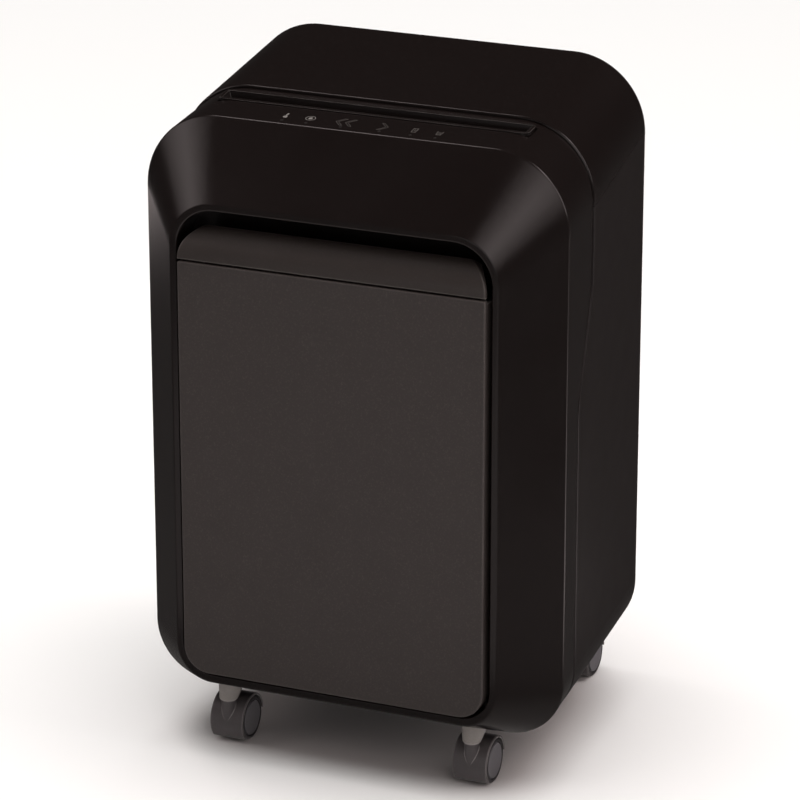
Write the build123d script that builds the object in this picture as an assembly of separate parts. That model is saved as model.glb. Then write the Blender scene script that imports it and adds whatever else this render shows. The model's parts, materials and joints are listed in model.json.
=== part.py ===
from build123d import *

# Deskside paper shredder on four twin-wheel casters, written as one STEP file per piece.
# Units are millimetres. +Z is up, the front faces -Y, +X is to the right seen from the front.
# The origin is on the floor under the middle of the machine.

import os
from dataclasses import dataclass
from math import acos, atan2, cos, degrees, pi, radians, sin, sqrt, tan

# Cabinet outline
WIDTH = 330.0  # across the front ridge
DEPTH = 280.0  # door face to rear face
FLOOR_GAP = 42.0  # floor to the underside of the front ridge
RIDGE_HEIGHT = 446.0  # underside to top of the front ridge
RIDGE_TOP_RADIUS = 58.0
RIDGE_BOTTOM_RADIUS = 44.0
SHELL_DEPTH = 173.0  # front ridge to rear edge of the side walls
SIDE_DRAFT = 6.3  # each side, front ridge to rear edge
TOP_RISE = 28.0  # front ridge to rear edge
BOTTOM_RISE = 12.0
REAR_TOP_RADIUS = 56.5
REAR_BOTTOM_RADIUS = 51.0
WALL = 3.0
RIM_ROUND = 2.0
LIP_ROUND = 1.4

# Front frame
BEVEL_DEPTH = 40.8  # ridge to ring plane
BEVEL_SIDE = 37.3
BEVEL_TOP = 54.0
BEVEL_BOTTOM = 18.0
RING_TOP_RADIUS = 35.0
RING_BOTTOM_RADIUS = 28.0
RING_LIP = 5.3
RING_LIP_BOTTOM = 6.5
RETURN_UPPER = 54.0  # ridge to the parting line on the upper sides
RETURN_LOWER = 25.5
RETURN_SPARE = 6.0  # the strip is drawn past the parting line, then cut
KNEE_DROP = 114.0  # ridge top to the bend in the parting line
KNEE_LENGTH = 80.0
KNEE_ROUND = 60.0
STEP_SIDE = 1.2  # front frame set in from the side walls at the parting line
STEP_TOP = 2.5
SLEEVE_DEPTH = 18.8
SLEEVE_WALL = 2.5
POCKET_CLEAR = 3.3  # finger pocket to the front cutter

# Door and bin
DOOR_PROUD = 5.2  # door face ahead of the ring
DOOR_GAP = 2.7
DOOR_PLATE = 4.0
DOOR_SKIRT = 13.0
DOOR_SKIRT_WALL = 2.0
DOOR_EDGE = 0.8
DOOR_TOP_RADIUS = 2.0
DOOR_BOSS_RADIUS = 6.0
DOOR_SCREW_INSET = 40.0
DOOR_SCREW_LOW = 60.0  # over the bin underside
DOOR_SCREW_HIGH = 40.0  # under the bin rim
GRIP_DROP = 37.7  # door opening top to the groove under the grip
GRIP_GROOVE = 1.6
GRIP_ROLL = 24.0
GRIP_ANGLE = 72.0
GRIP_WALL = 3.4
GRIP_EDGE = 0.8
GRIP_CORNER = 22.0
GRIP_TONGUE = 18.0
GRIP_TONGUE_WALL = 2.6
GRIP_TONGUE_INSET = 8.0
GRIP_SHELF = 2.0
BIN_WALL = 2.2
BIN_SIDE_GAP = 10.4
BIN_DRAFT = 2.0
BIN_LIFT = 1.8  # bin underside over the door opening sill
BIN_FRONT_GAP = 16.0  # door face to bin front
BIN_REAR_GAP = 28.0
BIN_CORNER = 24.0
BIN_FLOOR_ROUND = 14.0
BIN_RIM = 4.0
BIN_RIM_THICK = 3.0
BIN_HEADROOM = 5.0  # bin rim to deck

# Rear cover
REAR_STEP = 1.5
REAR_TAPER_SIDE = 30.0
REAR_TAPER_TOP = 44.0
REAR_FACE_TOP_RADIUS = 45.0
REAR_FACE_BOTTOM_RADIUS = 40.0
REAR_WALL = 2.5
REAR_ROUND = 6.0
VENT_COUNT = 7
VENT_LENGTH = 84.0
VENT_HEIGHT = 3.0
VENT_PITCH = 6.5
VENT_X = 52.0
VENT_DROP = 43.0  # top of the rear face to the middle of the vents
PANEL_X = -66.0  # recessed switch and cord panel
PANEL_DROP = 43.0
PANEL_WIDTH = 70.0
PANEL_HEIGHT = 36.0
PANEL_SINK = 4.5

# Parting lines
JOINT_GAP = 0.6
SEAM_GAP = 0.6
SEAM_DROP = 52.0  # ridge top to the side seam at the front parting line
SEAM_SLOPE = 12.0

# Paper entry
THROAT_LENGTH = 224.0
THROAT_GAP = 6.0
SLOT_SETBACK = 38.5
LINER_END = 9.5  # liner beyond the throat at each end
LINER_WIDTH = 17.4
LINER_CORNER = 5.2
LINER_PROUD = 0.8
LINER_DEPTH = 26.0
LINER_RIM = 1.8
FUNNEL_DEPTH = 18.0
FUNNEL_SPARE = 3.0  # the funnel is drawn past the strip, then cut
PAPER_SENSOR = (12.0, 6.0, 10.0)
PAPER_SENSOR_LIFT = 2.0

# Shredding unit
CUTTER_DROP = 54.0  # ridge top to cutter axes
CUTTER_MODULE = 2.0
CUTTER_TEETH = 20
DISC_RADIUS = 24.0
DISC_TIP_GAP = 1.0  # disc to the other shaft's core
DISC_PITCH = 8.0
DISC_THICK = 3.6
DISC_NOTCHES = 5
NOTCH_DEPTH = 3.0
NOTCH_LENGTH = 9.0
JOURNAL_RADIUS = 8.0
JOURNAL_END = 5.0  # past the left plate
CORE_END_GAP = 0.5
BEARING_RADIUS = 12.0
BEARING_FLANGE = 2.0
BEARING_FLANGE_RIM = 1.5
PLATE_THICK = 4.0
PLATE_SIDE_GAP = 2.5  # last disc to plate
PLATE_FRONT = 15.5  # ahead of the front cutter axis
PLATE_REAR = 36.0  # behind the motor axis
PLATE_RISE = 38.0  # above the cutter axes
PLATE_CHAMFER = 16.0
PLATE_SCREW_FRONT = 4.0  # behind the rear cutter axis
PLATE_SCREW_REAR = 20.0  # behind the motor axis
DECK_DROP = 42.0  # cutter axes to deck top
DECK_THICK = 5.0
DECK_FRONT_GAP = 1.0
DECK_CHUTE = 36.0
LEDGE_WIDTH = 9.0
LEDGE_HEIGHT = 11.0
TIE_RADIUS = 4.5
TIE_CUTTER_GAP = 10.0
TIE_MOTOR_GAP = 2.5
TIE_ANGLE = 51.0  # above and below the rear cutter axis
TIE_MOTOR_ANGLE = 46.0
STRIPPER_THICK = 4.0
STRIPPER_WIDTH = 20.0
STRIPPER_DROP = 34.0
STRIPPER_SHIFT = 4.0
FINGER_WIDTH = 3.0
FINGER_INSET = 2.0
FINGER_GAP = 0.8

# Gear train
PRESSURE_ANGLE = 25.0
TOOTH_HEIGHT = 0.8  # addendum in modules
TOOTH_ROOT = 1.0  # dedendum in modules
FLANK_STEPS = 4
BACKLASH = 0.24
PINION_TEETH = 12
WHEEL_MODULE = 1.0
WHEEL_TEETH = 64
MOTOR_TEETH = 14
IDLER_BEARING = 28.0  # direction from rear cutter to idler, degrees above level
MOTOR_BEARING = -18.0
GEAR_WIDTH = 10.0
GEAR_STANDOFF = 3.0
WHEEL_WIDTH = 5.5
WHEEL_STANDOFF = 1.5
IDLER_RADIUS = 5.0
IDLER_COLLAR = 3.0
GEAR_PLATE_GAP = 2.5
GEAR_PLATE_THICK = 3.0
GEAR_PLATE_RIM = 3.0
POST_RADIUS = 4.0
POST_GAP = 5.0  # gear teeth to post
POST_ANGLE = 258.0  # from the idler
POST_MOTOR_ANGLES = (-68.0, 63.0)
POST_MOTOR_DISTANCE = 31.0
PINION_OVERHANG = 1.0
FUSE = 0.5  # overlap where two shapes of one piece join

# Motor
MOTOR_RADIUS = 32.0
MOTOR_LENGTH = 112.0
MOTOR_SHAFT = 4.0
MOTOR_SHAFT_DEPTH = 12.0
MOTOR_SHAFT_HOLE = 2.0  # plate hole around the shaft
MOTOR_CAP_STEP = 4.0
MOTOR_CAP_FRONT = 6.0
MOTOR_CAP_REAR = 10.0
MOTOR_HUB_RADIUS = 10.0
MOTOR_HUB = 4.0
CRADLE_WIDTH = 20.0
CRADLE_SPAN = 51.0
CRADLE_SHARE = 0.6  # cradle top under the motor axis, in motor radii

# Base and casters
TRAY_THICK = 4.0
TRAY_REAR_GAP = 6.0
TRAY_FRONT_INSET = 5.0
LUG_WIDTH = 18.0
LUG_RISE = 7.0  # above the screw
LUG_DEPTH = 12.0
RUNNER_FOOT = 29.0
RUNNER_WALL = 2.5
RUNNER_HEIGHT = 16.0
RUNNER_GUIDE = 0.9
CASTER_INSET = 66.0  # side of the ridge to the stem
FRONT_STEM_LEAD = 14.2  # stem ahead of the ridge plane
REAR_STEM_INSET = 34.7  # from the rear face
CASTER_TRAIL = 14.2  # stem to axle
CASTER_WHEEL = 34.0
CASTER_WIDTH = 27.0
CASTER_WEB = 5.0
WEB_RADIUS = 11.0
HOOD_GAP = 0.5
HOOD_WALL = 1.6
HOOD_ROUND = 0.7
HOOD_CUT_DROP = 6.5
HOOD_CUT_TILT = 24.0
WHEEL_SIDE_GAP = 0.4
WHEEL_FACE_INSET = 0.3
WHEEL_ROUND = 2.0
WHEEL_DISC = 13.2  # middle of the wheel's outer face, inside a groove
WHEEL_GROOVE = 1.2
WHEEL_GROOVE_DEPTH = 1.4
WHEEL_CAP = 2.2
AXLE_RADIUS = 2.5
AXLE_END_GAP = 0.3
STEM_RADIUS = 3.0
STEM_CLEAR = 0.8  # wheel tread to stem
STEM_GRIP = 10.0  # inside the socket
STEM_END_GAP = 0.5
NECK_TOP_RADIUS = 5.6
NECK_FOOT_RADIUS = 4.6
NECK_FOOT_DROP = 3.0
SOCKET_RADIUS = 11.0
SOCKET_FOOT_RADIUS = 6.8
SOCKET_CONE = 14.0
SOCKET_LEAN = 8.0  # head behind the stem
SOCKET_ROUND = 0.6
SOCKET_GAP = 0.4
SOCKET_HOLE_GAP = 1.0

# Electrical pieces
BOARD_THICK = 1.6
BOARD_STANDOFF = 16.0
BOARD_POST_RADIUS = 3.0
BOARD_POST_INSET = 5.0
BOARD_PLATE_GAP = 9.0
BOARD_MOTOR_GAP = 14.5
BOARD_FRONT = 12.0  # behind the idler axis
BOARD_REAR = 26.0  # behind the motor axis
TRANSFORMER = (32.0, 26.0, 26.0)
RELAY = (16.0, 16.0, 16.0)
HEATSINK = (4.0, 16.0, 22.0)
PARTS_EDGE = 12.0  # board edge to the components
PARTS_GAP = 1.0
LENS_SETBACK = 5.5  # behind the ridge
LENS_X = (-59.0, -40.0, -13.0, 17.0, 41.0, 60.0)
LENS_RADIUS = 1.2
TOUCH_BOARD_SETBACK = 11.0
TOUCH_BOARD_WIDTH = 14.0
TOUCH_BOARD_MARGIN = 8.0
TOUCH_BOARD_DROP = 4.6
SWITCH_WIDTH = 14.0
SWITCH_HEIGHT = 21.0
SWITCH_DEPTH = 15.0
SWITCH_FLANGE = 1.6
SWITCH_LIP = 1.0
SWITCH_X = -18.0  # from the panel middle
ROCKER_END = 2.6  # rocker to the outside of the housing
ROCKER_SIDE = 2.2
ROCKER_FRONT = 3.4  # ends ahead of the pivot
ROCKER_DISH = 1.1
ROCKER_BACK = 3.2
ROCKER_TILT = 8.0
ROCKER_PIN = 1.2
ROCKER_PIN_REACH = 0.7
ROCKER_SINK = 0.5  # pivot behind the panel
ROCKER_GAP = 0.2
CORD_X = 18.0
CORD_BORE = 4.0
BUSH_RADIUS = 7.0
BUSH_FLANGE = 9.5
BUSH_FLANGE_THICK = 3.0
BUSH_LENGTH = 14.0
BIN_SWITCH = (20.0, 11.0, 16.0)
BIN_SWITCH_GAP = 6.0  # bin to switch
BIN_SWITCH_RISE = 28.0  # button over the bin underside
BIN_SWITCH_POST = 22.0
BUTTON_RADIUS = 2.0
BUTTON_DEPTH = 8.0
BUTTON_TRAVEL = 1.5

# Fasteners
SCREW_RADIUS = 1.7
SCREW_HEAD_RADIUS = 3.6
SCREW_HEAD = 2.2
SCREW_LENGTH = 14.0
SCREW_BOSS_WALL = 1.4
SCREW_TIP_GAP = 0.6
COVER_SCREW_HIGH_X = 80.0
COVER_SCREW_LOW_X = 55.0
COVER_SCREW_RISE = 15.0  # lower pair above the tray
DECK_SCREW_RISE = 3.0  # upper pair above the deck
DECK_BOSS = 14.0

# Clearances
RUNNING = 0.05  # radial, turning in a hole
SEAT = 0.05  # radial, fixed in a hole
FIT = 0.3  # between fixed neighbours
PASS = 1.0  # a cut runs this far past a face
TOUCH = 0.01  # points closer than this are one
LEAST_CORNER = 1.0

# Places that follow from the sizes above
FRONT_Y = -DEPTH / 2
REAR_Y = DEPTH / 2
RING_Y = FRONT_Y + DOOR_PROUD
RIDGE_Y = RING_Y + BEVEL_DEPTH
SHELL_REAR_Y = RIDGE_Y + SHELL_DEPTH
PARTING_Y = RIDGE_Y + RETURN_UPPER
STRIP_LENGTH = RETURN_UPPER + RETURN_SPARE
STRIP_END_Y = RIDGE_Y + STRIP_LENGTH
STRIP_SLOPE = TOP_RISE / SHELL_DEPTH - STEP_TOP / STRIP_LENGTH
STRIP_TILT = degrees(atan2(STRIP_SLOPE, 1))
RIDGE_TOP = FLOOR_GAP + RIDGE_HEIGHT
SLEEVE_Y = RING_Y + SLEEVE_DEPTH
SLOT_Y = RIDGE_Y + SLOT_SETBACK
LINER_LENGTH = THROAT_LENGTH + 2 * LINER_END
CUTTER_SPACING = CUTTER_MODULE * CUTTER_TEETH
CORE_RADIUS = CUTTER_SPACING - DISC_RADIUS - DISC_TIP_GAP
CUTTER_Z = RIDGE_TOP - CUTTER_DROP
FRONT_CUTTER_Y = SLOT_Y - CUTTER_SPACING / 2
REAR_CUTTER_Y = SLOT_Y + CUTTER_SPACING / 2
POCKET_Y = FRONT_CUTTER_Y - DISC_RADIUS - POCKET_CLEAR
DISC_COUNT = int(THROAT_LENGTH / DISC_PITCH) - 1
DISC_ROW = DISC_COUNT * DISC_PITCH
FRONT_DISC_X = -(DISC_ROW - DISC_PITCH / 2) / 2
REAR_DISC_X = FRONT_DISC_X + DISC_PITCH / 2
PLATE_X = DISC_ROW / 2 + PLATE_SIDE_GAP
PLATE_OUT_X = PLATE_X + PLATE_THICK
DECK_TOP = CUTTER_Z - DECK_DROP
DECK_BOTTOM = DECK_TOP - DECK_THICK
IDLER_DISTANCE = CUTTER_MODULE * (CUTTER_TEETH + PINION_TEETH) / 2
MOTOR_DISTANCE = WHEEL_MODULE * (WHEEL_TEETH + MOTOR_TEETH) / 2
IDLER_Y = REAR_CUTTER_Y + IDLER_DISTANCE * cos(radians(IDLER_BEARING))
IDLER_Z = CUTTER_Z + IDLER_DISTANCE * sin(radians(IDLER_BEARING))
MOTOR_Y = IDLER_Y + MOTOR_DISTANCE * cos(radians(MOTOR_BEARING))
MOTOR_Z = IDLER_Z + MOTOR_DISTANCE * sin(radians(MOTOR_BEARING))
GEAR_X = PLATE_OUT_X + GEAR_STANDOFF
GEAR_END_X = GEAR_X + GEAR_WIDTH
WHEEL_X = GEAR_END_X + WHEEL_STANDOFF
WHEEL_END_X = WHEEL_X + WHEEL_WIDTH
GEAR_PLATE_X = WHEEL_END_X + GEAR_PLATE_GAP
STRIPPER_Z = CUTTER_Z - STRIPPER_DROP
MOTOR_END_X = PLATE_X - MOTOR_LENGTH
TRAY_Z = FLOOR_GAP + BOTTOM_RISE + WALL + FIT
TRAY_TOP = TRAY_Z + TRAY_THICK
SILL_Z = FLOOR_GAP + BEVEL_BOTTOM + RING_LIP_BOTTOM
OPENING_HALF = WIDTH / 2 - BEVEL_SIDE - RING_LIP
OPENING_TOP = RIDGE_TOP - BEVEL_TOP - RING_LIP
GRIP_LINE = OPENING_TOP - GRIP_DROP
GRIP_LOW = GRIP_LINE + GRIP_GROOVE / 2
GRIP_TOP = GRIP_LOW + GRIP_ROLL * sin(radians(GRIP_ANGLE))
DOOR_HALF = OPENING_HALF - DOOR_GAP
DOOR_TOP = GRIP_LINE - GRIP_GROOVE / 2
BIN_HALF = OPENING_HALF - BIN_SIDE_GAP
BIN_Z = SILL_Z + BIN_LIFT
BIN_TOP = DECK_BOTTOM - BIN_HEADROOM
BIN_FRONT_Y = FRONT_Y + BIN_FRONT_GAP
BIN_REAR_Y = REAR_Y - BIN_REAR_GAP
STEM_X = WIDTH / 2 - CASTER_INSET
FRONT_STEM_Y = RIDGE_Y - FRONT_STEM_LEAD
REAR_STEM_Y = REAR_Y - REAR_STEM_INSET
AXLE_Z = CASTER_WHEEL / 2
HOOD_INSIDE = CASTER_WHEEL / 2 + HOOD_GAP
HOOD_RADIUS = HOOD_INSIDE + HOOD_WALL
NECK_TOP = AXLE_Z + HOOD_RADIUS
STEM_REACH = (CASTER_WHEEL / 2 + STEM_CLEAR) ** 2 - (CASTER_TRAIL - STEM_RADIUS) ** 2
STEM_FOOT = AXLE_Z + sqrt(max(STEM_REACH, 0))
SOCKET_FOOT = NECK_TOP + SOCKET_GAP
REAR_FACE_TOP = RIDGE_TOP + TOP_RISE - REAR_STEP - REAR_TAPER_TOP
REAR_INSIDE_Y = REAR_Y - REAR_WALL
VENT_Z = REAR_FACE_TOP - VENT_DROP
PANEL_Y = REAR_Y - PANEL_SINK
PANEL_Z = REAR_FACE_TOP - PANEL_DROP
ROCKER_WIDTH = SWITCH_WIDTH - 2 * ROCKER_SIDE
ROCKER_LENGTH = SWITCH_HEIGHT - 2 * ROCKER_END
ROCKER_X = PANEL_X + SWITCH_X
ROCKER_Y = PANEL_Y - ROCKER_SINK
BUSH_X = PANEL_X + CORD_X
COVER_HEAD_Y = REAR_Y - SCREW_HEAD - FIT
BOSS_END_Y = REAR_INSIDE_Y - SCREW_HEAD - FIT
BOSS_RADIUS = SCREW_HEAD_RADIUS + SCREW_BOSS_WALL
BOARD_Z = DECK_TOP + BOARD_STANDOFF
BOARD_X0 = BOARD_PLATE_GAP - PLATE_X
BOARD_X1 = MOTOR_END_X - BOARD_MOTOR_GAP
BOARD_Y0 = IDLER_Y + BOARD_FRONT
BOARD_Y1 = MOTOR_Y + BOARD_REAR
BUTTON_Z = BIN_Z + BIN_SWITCH_RISE
BIN_SWITCH_Y = BIN_REAR_Y + BIN_SWITCH_GAP
BIG = 4 * max(WIDTH, DEPTH, RIDGE_HEIGHT)  # larger than the machine


@dataclass(frozen=True)
class Outline:
    """A rounded rectangle standing across the machine, with its own upper and lower corners."""

    half: float
    low: float
    high: float
    top_radius: float
    bottom_radius: float

    def inset(self, amount):
        """The same outline drawn in on every side; a negative amount draws it out."""
        return Outline(
            self.half - amount,
            self.low + amount,
            self.high - amount,
            max(self.top_radius - amount, LEAST_CORNER),
            max(self.bottom_radius - amount, LEAST_CORNER),
        )

    def blend(self, other, share):
        """The outline that lies the given share of the way to another one."""
        return Outline(
            self.half + (other.half - self.half) * share,
            self.low + (other.low - self.low) * share,
            self.high + (other.high - self.high) * share,
            self.top_radius + (other.top_radius - self.top_radius) * share,
            self.bottom_radius + (other.bottom_radius - self.bottom_radius) * share,
        )

    def face(self, y):
        """The outline as a face at the given depth."""
        half, low, high = self.half, self.low, self.high
        top, bottom = self.top_radius, self.bottom_radius
        edges = [
            Line((bottom - half, low), (half - bottom, low)),
            CenterArc((half - bottom, low + bottom), bottom, 270, 90),
            Line((half, low + bottom), (half, high - top)),
            CenterArc((half - top, high - top), top, 0, 90),
            Line((half - top, high), (top - half, high)),
            CenterArc((top - half, high - top), top, 90, 90),
            Line((-half, high - top), (-half, low + bottom)),
            CenterArc((bottom - half, low + bottom), bottom, 180, 90),
        ]
        return Plane((0, y, 0), x_dir=(1, 0, 0), z_dir=(0, -1, 0)) * make_face(edges)


RIDGE = Outline(WIDTH / 2, FLOOR_GAP, RIDGE_TOP, RIDGE_TOP_RADIUS, RIDGE_BOTTOM_RADIUS)
SHELL_END = Outline(
    WIDTH / 2 - SIDE_DRAFT,
    FLOOR_GAP + BOTTOM_RISE,
    RIDGE_TOP + TOP_RISE,
    REAR_TOP_RADIUS,
    REAR_BOTTOM_RADIUS,
)
RING = Outline(
    WIDTH / 2 - BEVEL_SIDE,
    FLOOR_GAP + BEVEL_BOTTOM,
    RIDGE_TOP - BEVEL_TOP,
    RING_TOP_RADIUS,
    RING_BOTTOM_RADIUS,
)
OPENING = Outline(
    OPENING_HALF,
    SILL_Z,
    OPENING_TOP,
    RING_TOP_RADIUS - RING_LIP,
    RING_BOTTOM_RADIUS - RING_LIP,
)
REAR_START = Outline(
    SHELL_END.half - REAR_STEP,
    SHELL_END.low + FIT,
    SHELL_END.high - REAR_STEP,
    REAR_TOP_RADIUS - REAR_STEP,
    REAR_BOTTOM_RADIUS - REAR_STEP,
)
REAR_FACE = Outline(
    REAR_START.half - REAR_TAPER_SIDE,
    REAR_START.low,
    REAR_FACE_TOP,
    REAR_FACE_TOP_RADIUS,
    REAR_FACE_BOTTOM_RADIUS,
)


def body_at(y):
    """Outer outline of the cabinet walls at a depth."""
    return RIDGE.blend(SHELL_END, (y - RIDGE_Y) / SHELL_DEPTH)


def strip_end():
    """Outline of the front frame behind the parting line, set in from the walls."""
    end = body_at(STRIP_END_Y)
    return Outline(
        end.half - STEP_SIDE,
        end.low + STEP_SIDE,
        end.high - STEP_TOP,
        end.top_radius - STEP_SIDE,
        end.bottom_radius - STEP_SIDE,
    )


# Plain shapes


def ruled(first, first_y, last, last_y):
    """A solid with straight sides between two outlines."""
    return loft([first.face(first_y), last.face(last_y)], ruled=True)


def block(x0, x1, y0, y1, z0, z1):
    """A box between two corners."""
    return Pos((x0 + x1) / 2, (y0 + y1) / 2, (z0 + z1) / 2) * Box(x1 - x0, y1 - y0, z1 - z0)


def rod_x(radius, x0, x1, y, z):
    """A round bar along X."""
    return Pos((x0 + x1) / 2, y, z) * Rot(0, 90, 0) * Cylinder(radius, x1 - x0)


def rod_y(radius, x, y0, y1, z):
    """A round bar along Y."""
    return Pos(x, (y0 + y1) / 2, z) * Rot(90, 0, 0) * Cylinder(radius, y1 - y0)


def rod_z(radius, x, y, z0, z1):
    """A round bar along Z."""
    return Pos(x, y, (z0 + z1) / 2) * Cylinder(radius, z1 - z0)


def plate_x(face, x0, x1):
    """A flat face drawn in depth and height, given thickness along X."""
    return Pos(x0, 0, 0) * extrude(Plane.YZ * face, x1 - x0)


def polygon(*points):
    """A flat face with straight edges."""
    return make_face(Polyline(*points, close=True))


def polar(y, z, distance, angle):
    """A point at a distance and an angle, in degrees, from an axis along X."""
    return y + distance * cos(radians(angle)), z + distance * sin(radians(angle))


def screw_y(x, head_y, z):
    """A screw driven towards -Y, its head's underside at head_y."""
    head = rod_y(SCREW_HEAD_RADIUS, x, head_y, head_y + SCREW_HEAD, z)
    return head + rod_y(SCREW_RADIUS, x, head_y - SCREW_LENGTH, head_y + FUSE, z)


def screw_hole_y(x, head_y, z):
    """The hole that grips such a screw."""
    return rod_y(SCREW_RADIUS + SEAT, x, head_y - SCREW_LENGTH - SCREW_TIP_GAP, head_y, z)


def edges_at(shape, y):
    """Edges that lie at one depth."""
    return [e for e in shape.edges() if all(abs(v.Y - y) < TOUCH for v in e.vertices())]


# Cabinet spaces


def walls(inset, y0, y1):
    """The cabinet's inside or outside as a solid, drawn in by an inset."""
    return ruled(body_at(y0).inset(inset), y0, body_at(y1).inset(inset), y1)


def rear_inside(inset):
    """Hollow of the rear cover, drawn in by an inset."""
    return ruled(REAR_START.inset(inset), SHELL_REAR_Y, REAR_FACE.inset(inset), REAR_Y - inset)


def cabinet_inside(gap):
    """Inside of the cabinet and rear cover in one solid, for pieces that fill it."""
    return walls(WALL + STEP_SIDE + gap, RIDGE_Y, SHELL_REAR_Y) + rear_inside(REAR_WALL + gap)


def front_zone(shift):
    """Everything ahead of the parting line that runs over the top and down the sides."""
    upper, lower = PARTING_Y + shift, RIDGE_Y + RETURN_LOWER + shift
    knee = RIDGE_TOP - KNEE_DROP
    line = FilletPolyline(
        (upper, BIG), (upper, knee), (lower, knee - KNEE_LENGTH), (lower, -BIG), radius=KNEE_ROUND
    )
    front = Polyline((lower, -BIG), (-BIG, -BIG), (-BIG, BIG), (upper, BIG))
    return plate_x(make_face([line, front]), -BIG, BIG)


def above_seam(shift):
    """Everything above the rising side seam."""
    turned = Rot(SEAM_SLOPE, 0, 0) * block(-BIG, BIG, -BIG, BIG, 0, BIG)
    return Pos(0, PARTING_Y, RIDGE_TOP - SEAM_DROP + shift) * turned


def strip_z(y):
    """Height of the front frame's top strip at a depth."""
    return RIDGE_TOP + (y - RIDGE_Y) * STRIP_SLOPE


def on_strip(x, setback):
    """A place on the top strip, its Z square to the strip."""
    y = RIDGE_Y + setback
    return Pos(x, y, strip_z(y)) * Rot(STRIP_TILT, 0, 0)


# Places that several pieces share


def caster_places():
    """Stem places by corner name."""
    return {
        "front_left": (-STEM_X, FRONT_STEM_Y),
        "front_right": (STEM_X, FRONT_STEM_Y),
        "rear_left": (-STEM_X, REAR_STEM_Y),
        "rear_right": (STEM_X, REAR_STEM_Y),
    }


def deck_screw_places():
    """Upper rear cover screws that reach the deck, as x and z."""
    return [(sign * COVER_SCREW_HIGH_X, DECK_TOP + DECK_SCREW_RISE) for sign in (-1, 1)]


def tray_screw_places():
    """Lower rear cover screws that reach the tray, as x and z."""
    return [(sign * COVER_SCREW_LOW_X, TRAY_TOP + COVER_SCREW_RISE) for sign in (-1, 1)]


def plate_screw_places():
    """Screws under the side plates, as x and y."""
    mid = PLATE_X + PLATE_THICK / 2
    depths = (REAR_CUTTER_Y + PLATE_SCREW_FRONT, MOTOR_Y + PLATE_SCREW_REAR)
    return [(x, y) for x in (-mid, mid) for y in depths]


def door_screw_places():
    """Screws between bin and door, as x and z."""
    heights = (BIN_Z + DOOR_SCREW_LOW, BIN_TOP - DOOR_SCREW_HIGH)
    return [(sign * (BIN_HALF - DOOR_SCREW_INSET), z) for sign in (-1, 1) for z in heights]


def board_post_places():
    """Posts under the control board, as x and y."""
    inset = BOARD_POST_INSET
    depths = (BOARD_Y0 + inset, BOARD_Y1 - inset)
    return [(x, y) for x in (BOARD_X0 + inset, BOARD_X1 - inset) for y in depths]


def tie_places():
    """Tie rods between the side plates, as y and z."""
    clear = DISC_RADIUS + TIE_RADIUS + TIE_CUTTER_GAP
    motor_clear = MOTOR_RADIUS + TIE_RADIUS + TIE_MOTOR_GAP
    return [
        polar(REAR_CUTTER_Y, CUTTER_Z, clear, TIE_ANGLE),
        polar(REAR_CUTTER_Y, CUTTER_Z, clear, -TIE_ANGLE),
        polar(MOTOR_Y, MOTOR_Z, motor_clear, TIE_MOTOR_ANGLE),
    ]


def post_places():
    """Posts of the gear plate, as y and z."""
    clear = WHEEL_MODULE * WHEEL_TEETH / 2 + POST_RADIUS + POST_GAP
    beside = [polar(MOTOR_Y, MOTOR_Z, POST_MOTOR_DISTANCE, angle) for angle in POST_MOTOR_ANGLES]
    return beside + [polar(IDLER_Y, IDLER_Z, clear, POST_ANGLE)]


def bin_front_at(z):
    """Depth of the bin's front wall at a height."""
    return BIN_FRONT_Y + BIN_DRAFT * (BIN_TOP - z) / (BIN_TOP - BIN_Z)


def bin_rear_at(z):
    """Depth of the bin's rear wall at a height."""
    return BIN_REAR_Y - BIN_DRAFT * (BIN_TOP - z) / (BIN_TOP - BIN_Z)


# Cabinet


def on_opening(edge):
    """True for an edge of the door opening, not of the ring around it."""
    half, low, high = OPENING.half + TOUCH, OPENING.low - TOUCH, OPENING.high + TOUCH
    return all(abs(v.X) < half and low < v.Z < high for v in edge.vertices())


def fascia_frame():
    """Bevel, top strip and side returns, hollow and cut at the parting line."""
    frame = ruled(RING, RING_Y, RIDGE, RIDGE_Y) + ruled(RIDGE, RIDGE_Y, strip_end(), STRIP_END_Y)
    frame = fillet(edges_at(frame, RIDGE_Y), RIM_ROUND)
    frame = fillet(edges_at(frame, RING_Y), RIM_ROUND)
    inner = RIDGE.inset(WALL)
    frame -= ruled(RING.inset(WALL), RING_Y + WALL, inner, RIDGE_Y)
    frame -= ruled(inner, RIDGE_Y, strip_end().inset(WALL), STRIP_END_Y)
    return frame & front_zone(0)


def make_front_fascia():
    frame = fascia_frame()
    outer = OPENING.inset(-SLEEVE_WALL)
    frame += ruled(outer, RING_Y + WALL / 2, outer, SLEEVE_Y)
    pocket = ruled(outer, RING_Y + WALL / 2, outer, POCKET_Y)
    frame += pocket & block(-BIG, BIG, -BIG, BIG, DECK_TOP, BIG)
    frame -= ruled(OPENING, RING_Y - PASS, OPENING, POCKET_Y - SLEEVE_WALL)
    frame = fillet([e for e in edges_at(frame, RING_Y) if on_opening(e)], LIP_ROUND)
    half, wide = LINER_LENGTH / 2 + FIT, LINER_WIDTH / 2 + FIT
    frame -= block(-half, half, SLOT_Y - wide, SLOT_Y + wide, CUTTER_Z, BIG)
    for x in LENS_X:
        frame -= on_strip(x, LENS_SETBACK) * Cylinder(LENS_RADIUS + SEAT, 4 * WALL)
    for x in (-STEM_X, STEM_X):
        top = SILL_Z - SLEEVE_WALL - FIT
        frame -= rod_z(SOCKET_RADIUS + SOCKET_HOLE_GAP, x, FRONT_STEM_Y + SOCKET_LEAN, 0, top)
    return frame


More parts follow.
